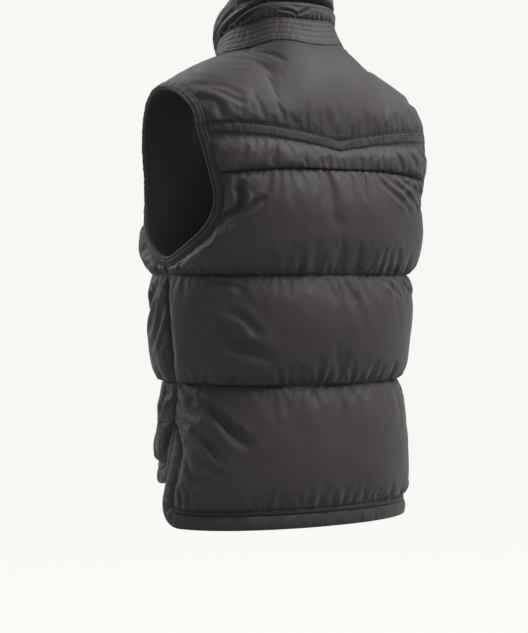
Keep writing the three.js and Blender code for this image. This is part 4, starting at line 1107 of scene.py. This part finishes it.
def zipStrip(side):
    tipX, hem, counts = cut["shoulderTip"][0], cut["hem"]["front"], zipLook["counts"]
    level, x = crossed(np.linspace(hem + 1, cut["frontChest"], counts[0])[:-1], zipLook["xs"])
    girth = halfGirth(level) - x
    parts = [(onBody(girth, level), bodyNormal(girth, level))]
    v, x = crossed(np.linspace(0, neckLines[True][0, 1], counts[1])[:-1], zipLook["xs"])
    start = overShoulder(True, 0 * v, v)[..., 0]
    parts.append(shoulderPlace(True, (x - start) / (tipX - start), v))
    share, x = crossed(np.linspace(0, zipLook["top"], counts[2]), zipLook["xs"])
    lean = 1 - (1 - share) ** cut["collarLean"]
    swing = np.degrees(np.arcsin(x / mix(cut["neck"]["halfWidth"], cut["collarTop"]["halfWidth"], lean)))
    parts.append(collarPlace(180 - swing, share))
    base, normal = joined(parts)
    base[..., 0] = np.array(zipLook["xs"]) * side
    normal[..., 0] = 0
    return base, unit(normal)


# Places, directions and normals at an even pitch along a line
def resampled(points, normals, pitch, offset=0.0, reach=0.8):
    run = lengthAlong(points)
    stops = np.arange(pitch / 2 + offset, run[-1] - pitch / 2, pitch)

    def read(values, at):
        return np.stack([np.interp(at, run, values[:, k]) for k in range(3)], -1)
    along = unit(read(points, stops + reach) - read(points, stops - reach))
    return read(points, stops), along, read(normals, stops)


def bevelled(size):
    obj = bpy.context.object
    bpy.ops.object.transform_apply()
    bpy.ops.object.mode_set(mode="EDIT")
    bpy.ops.mesh.bevel(offset=size * mm, segments=1, affect="EDGES")
    bpy.ops.object.mode_set(mode="OBJECT")
    return obj


# Copies one small template along lines, and each copy keeps its own faces
def copiesAlong(name, template, lines):
    points = np.array([v.co[:] for v in template.data.vertices]) / mm
    faces = [list(p.vertices) for p in template.data.polygons]
    allPoints, allFaces = [], []
    for places, along, up in lines:
        side = unit(np.cross(along, up))
        axes = np.stack([side, along, np.cross(side, along)], 1)
        for place, frameAxes in zip(places, axes):
            first = len(allPoints) * len(points)
            allPoints.append(points @ frameAxes + place)
            allFaces += [[first + k for k in face] for face in faces]
    obj = meshObject(name, (np.concatenate(allPoints) * mm).tolist(), allFaces)
    bpy.data.objects.remove(template)
    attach(obj, "vest")
    return obj


for hand, side in hands:
    base, normal = zipStrip(side)
    grids = base, normal, np.full(base.shape[:2], zipLook["front"])
    pieces["tape_" + hand] = stripObject(
        "zipTape" + hand.title(), "zip_tape_" + hand, grids, zipLook["flatWidth"],
        ["front_" + hand + "Padded"], depth=zipLook["thickness"] - zipLook["front"])
    bpy.ops.object.select_all(action="DESELECT")
    bpy.ops.mesh.primitive_cube_add(size=1)
    bpy.context.object.scale = [size * mm for size in zipLook["tooth"]]
    middle = base[:, 1] + normal[:, 1] * (zipLook["front"] + zipLook["toothLift"])
    middle[:, 0] = zipLook["toothX"] * side
    line = resampled(middle, normal[:, 1], zipLook["pitch"], 0 if side > 0 else zipLook["pitch"] / 2)
    tooth = bevelled(zipLook["bevel"])
    pieces["teeth_" + hand] = copiesAlong("zipTeeth" + hand.title(), tooth, [line])
print("zip made")

# Stitches along every topstitched line, with a second line inside the hem band
thread = {"length": 2.4, "pitch": 4.4, "radius": 0.38, "bevel": 0.18}
inside = np.array([1 + panels["hemStrip"] / cut["hemBand"]])
for half in (backHalf, frontHalf):
    for hand, side in hands:
        strip = hemStrip(half, side, inside, hemLook["innerSteps"], *hemLook["innerEnds"])
        points, normals = stitchLine(*strip, 0, hemLook["innerLift"])
        stitchLines.append((points if half.isFront else flared(points), normals))
for key, name, lines, slot in (("stitches", "topstitching", stitchLines, "trim_nylon"),
                               ("tonal", "collarTopstitching", collarLines, "collar_nylon")):
    bpy.ops.object.select_all(action="DESELECT")
    bpy.ops.mesh.primitive_cylinder_add(vertices=6, radius=thread["radius"] * mm, depth=thread["length"] * mm,
                                        rotation=(math.pi / 2, 0, 0))
    placed = [resampled(points, normals, thread["pitch"]) for points, normals in lines]
    pieces[key] = copiesAlong(name, bevelled(thread["bevel"]), placed)
    print("stitches made:", sum(len(line[0]) for line in placed))


# Finishes: maths on sockets, then one method that makes any node
class Wire:
    def __init__(self, shade, socket):
        self.shade, self.socket = shade, socket

    def math(self, operation, a, b):
        return self.shade.node("ShaderNodeMath", {"operation": operation}, {0: a, 1: b})

    def __add__(self, other):
        return self.math("ADD", self, other)

    def __sub__(self, other):
        return self.math("SUBTRACT", self, other)

    def __rsub__(self, other):
        return self.math("SUBTRACT", other, self)

    def __mul__(self, other):
        return self.math("MULTIPLY", self, other)

    __radd__, __rmul__ = __add__, __mul__


class Shade:
    def __init__(self, name):
        self.material = bpy.data.materials.new(name)
        self.material.use_nodes = True
        self.tree = self.material.node_tree
        self.tree.nodes.clear()

    def node(self, kind, settings=None, sockets=None, out=0):
        node = self.tree.nodes.new(kind)
        for key, value in (settings or {}).items():
            setattr(node, key, value)
        for key, value in (sockets or {}).items():
            if isinstance(value, Wire):
                self.tree.links.new(value.socket, node.inputs[key])
            else:
                node.inputs[key].default_value = value
        return Wire(self, node.outputs[out]) if len(node.outputs) else None

    def blendColor(self, share, a, b):
        return self.node("ShaderNodeMix", {"data_type": "RGBA"}, {0: share, 6: (*a, 1), 7: (*b, 1)}, out=2)

    def coords(self):
        return self.node("ShaderNodeTexCoord", out=3)

    def cloth(self):
        return self.node("ShaderNodeUVMap", {"uv_map": "cloth"})

    def wave(self, direction, coords, scale):
        return self.node("ShaderNodeTexWave", {"bands_direction": direction},
                         {"Vector": coords, "Scale": scale})

    def bump(self, strength, distance, height):
        return self.node("ShaderNodeBump", None,
                         {"Strength": strength, "Distance": distance, "Height": height})

    def noise(self, coords, scale, detail=2.0, rough=0.5):
        return self.node("ShaderNodeTexNoise", None,
                         {"Vector": coords, "Scale": scale, "Detail": detail, "Roughness": rough})

    def stretched(self, coords, scale):
        return self.node("ShaderNodeMapping", None, {"Vector": coords, "Scale": scale})

    def finish(self, sockets):
        surface = self.node("ShaderNodeBsdfPrincipled", None, sockets)
        self.node("ShaderNodeOutputMaterial", None, {"Surface": surface})
        return self.material


def makeNylon(name, dark, light, roughness, crinkle):
    shade = Shade(name)
    coords = shade.coords()
    cloth = shade.cloth()
    # Base colour: random patchy and fine tone, plus painted seam shade from the "puff" filling share, darkest
    # where the cloth is stitched down or grooved
    puff = shade.node("ShaderNodeAttribute", {"attribute_name": "puff"}, out=2)
    patchy = shade.noise(coords, 22, 3)
    fine = shade.noise(coords, 260, 2)
    color = shade.blendColor(patchy * 0.35 + fine * 0.15 + puff * 0.6 - 0.1, dark, light)
    weave = shade.wave("X", cloth, 420.0) * shade.wave("Y", cloth, 420.0)
    crumple = shade.noise(shade.stretched(cloth, (1.0, 0.55, 1.0)), 95, 3, 0.55)
    small = shade.noise(coords, 240, 2)
    relief = crumple + small * 0.3 + weave * 0.05
    return shade.finish({"Base Color": color, "Roughness": patchy * 0.12 + fine * 0.06 + roughness - 0.09,
                         "Normal": shade.bump(crinkle, 0.0008, relief), "Sheen Weight": 0.05,
                         "Sheen Roughness": 0.5, "Specular IOR Level": 0.16})


def makeTape():
    shade = Shade("tapeTwill")
    cloth = shade.cloth()
    turned = shade.node("ShaderNodeMapping", None, {"Vector": cloth, "Rotation": (0, 0, 0.9)})
    twill = shade.node("ShaderNodeTexWave", None, {"Vector": turned, "Scale": 330.0, "Distortion": 0.6})
    worn = shade.noise(cloth, 60, 3)
    color = shade.blendColor(twill * 0.6 + worn * 0.4, (0.010, 0.009, 0.010), (0.026, 0.024, 0.026))
    return shade.finish({"Base Color": color, "Roughness": worn * 0.1 + 0.72,
                         "Normal": shade.bump(0.5, 0.0003, twill)})


def makeMetal():
    shade = Shade("darkMetal")
    coords = shade.coords()
    worn = shade.noise(coords, 420, 4, 0.6)
    brushed = shade.noise(shade.stretched(coords, (1.0, 1.0, 0.08)), 1600, 2)
    color = shade.blendColor(worn, (0.035, 0.034, 0.036), (0.085, 0.083, 0.086))
    return shade.finish({"Base Color": color, "Metallic": 0.9, "Roughness": worn * 0.2 + 0.26,
                         "Normal": shade.bump(0.12, 0.0001, brushed)})


def makeThread(name, dark, light):
    shade = Shade(name)
    coords = shade.coords()
    twist = shade.wave("DIAGONAL", coords, 700.0)
    uneven = shade.noise(coords, 180, 2)
    color = shade.blendColor(uneven * 0.6 + twist * 0.4, dark, light)
    return shade.finish({"Base Color": color, "Roughness": uneven * 0.1 + 0.62,
                         "Normal": shade.bump(0.4, 0.0001, twist), "Specular IOR Level": 0.05})


# On shell, trim and collar nylon the first colour is both the darker random patches and the painted shade at
# seams and grooves
finishes = {
    "shell": makeNylon("shellNylon", (0.0060, 0.0045, 0.0055), (0.0220, 0.0176, 0.0205), 0.64, 0.3),
    "trim": makeNylon("trimNylon", (0.0080, 0.0062, 0.0074), (0.0205, 0.0163, 0.0191), 0.64, 0.3),
    "collar": makeNylon("collarNylon", (0.0065, 0.0049, 0.0060), (0.0225, 0.0181, 0.0210), 0.64, 0.3),
    "lining": makeNylon("liningNylon", (0.0100, 0.0080, 0.0092), (0.0130, 0.0105, 0.0121), 0.62, 0.25),
    "tape": makeTape(),
    "metal": makeMetal(),
    "thread": makeThread("stitchThread", (0.003, 0.002, 0.003), (0.007, 0.006, 0.007)),
    "tonal": makeThread("collarThread", (0.012, 0.010, 0.0115), (0.020, 0.016, 0.019)),
}
# Outside and inside of each piece, by the first word of its key
wears = {
    "back": ("shell", "lining"), "front": ("shell", "lining"), "collar": ("collar", "lining"),
    "binding": ("trim", "lining"), "hem": ("trim", "lining"), "yoke": ("trim", "lining"),
    "tape": ("tape", "tape"), "teeth": ("metal",), "stitches": ("thread",), "tonal": ("tonal",),
}
for key, obj in pieces.items():
    for finish in wears[key.split("_")[0]]:
        obj.data.materials.append(finishes[finish])
for name in ("zip_slider", "zip_pull_tab"):
    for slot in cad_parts[name].material_slots:
        slot.material = finishes["metal"]
print("finishes made")

# Camera, floor and light. Lengths in metres, the lens and where the vest's axis stands in pixels
look = {
    "axisDistance": 2.4, "azimuth": 144.0, "level": -0.305, "focal": 1765.0, "axisX": 281.0,
    "horizonY": 278.0, "width": 528, "height": 633, "sensor": 36,
}
turn = math.radians(look["azimuth"])
facing = np.array([-math.sin(turn), math.cos(turn)])
bpy.ops.object.camera_add(location=(*(-facing * look["axisDistance"]), look["level"]))
camera = bpy.context.object
yaw = math.atan((look["axisX"] - look["width"] / 2) / look["focal"])
pitch = math.atan((look["height"] / 2 - look["horizonY"]) / look["focal"])
camera.rotation_euler = (math.pi / 2 - pitch, 0, math.atan2(-facing[0], facing[1]) + yaw)
camera.data.lens = look["focal"] / look["height"] * look["sensor"]
camera.data.sensor_width = look["sensor"]
camera.data.sensor_fit = "AUTO"
camera.data.clip_end = 100
bpy.context.scene.camera = camera

floorSetup = {"level": -1.5, "size": 40.0}
bpy.ops.mesh.primitive_plane_add(size=floorSetup["size"], location=(0, 0, floorSetup["level"]))
floor = bpy.context.object
floor.name = "studioFloor"
bpy.ops.object.transform_apply(location=True)
shade = Shade("paleFloor")
coords = shade.coords()
floor.data.materials.append(shade.finish({
    "Base Color": shade.blendColor(shade.noise(coords, 3, 2), (0.06, 0.06, 0.058), (0.064, 0.064, 0.062)),
    "Emission Color": (0.87, 0.88, 0.84, 1), "Emission Strength": 1.0,
    "Roughness": 1.0, "Specular IOR Level": 0.0}))

world = bpy.data.worlds.new("studio")
bpy.context.scene.world = world
world.use_nodes = True
background = world.node_tree.nodes["Background"].inputs
background["Color"].default_value = (0.930, 0.940, 0.900, 1)
background["Strength"].default_value = 1.0
bpy.context.scene.view_settings.view_transform = "Standard"


lightAim = np.array((0, 0, -0.3))


def addArea(name, place, size, power):
    bpy.ops.object.light_add(type="AREA", location=place)
    light = bpy.context.object
    light.name = name
    light.data.shape = "DISK"
    light.data.size = size
    light.data.energy = power
    x, y, z = np.array(place) - lightAim
    light.rotation_euler = (math.atan2(math.hypot(x, y), z), 0, math.atan2(y, x) + math.pi / 2)


addArea("keyLight", (-1.5, 1.6, 2.7), 2.4, 340)
addArea("fillLight", (0.9, -2.4, 1.4), 2.0, 70)
print("camera, floor and light set")
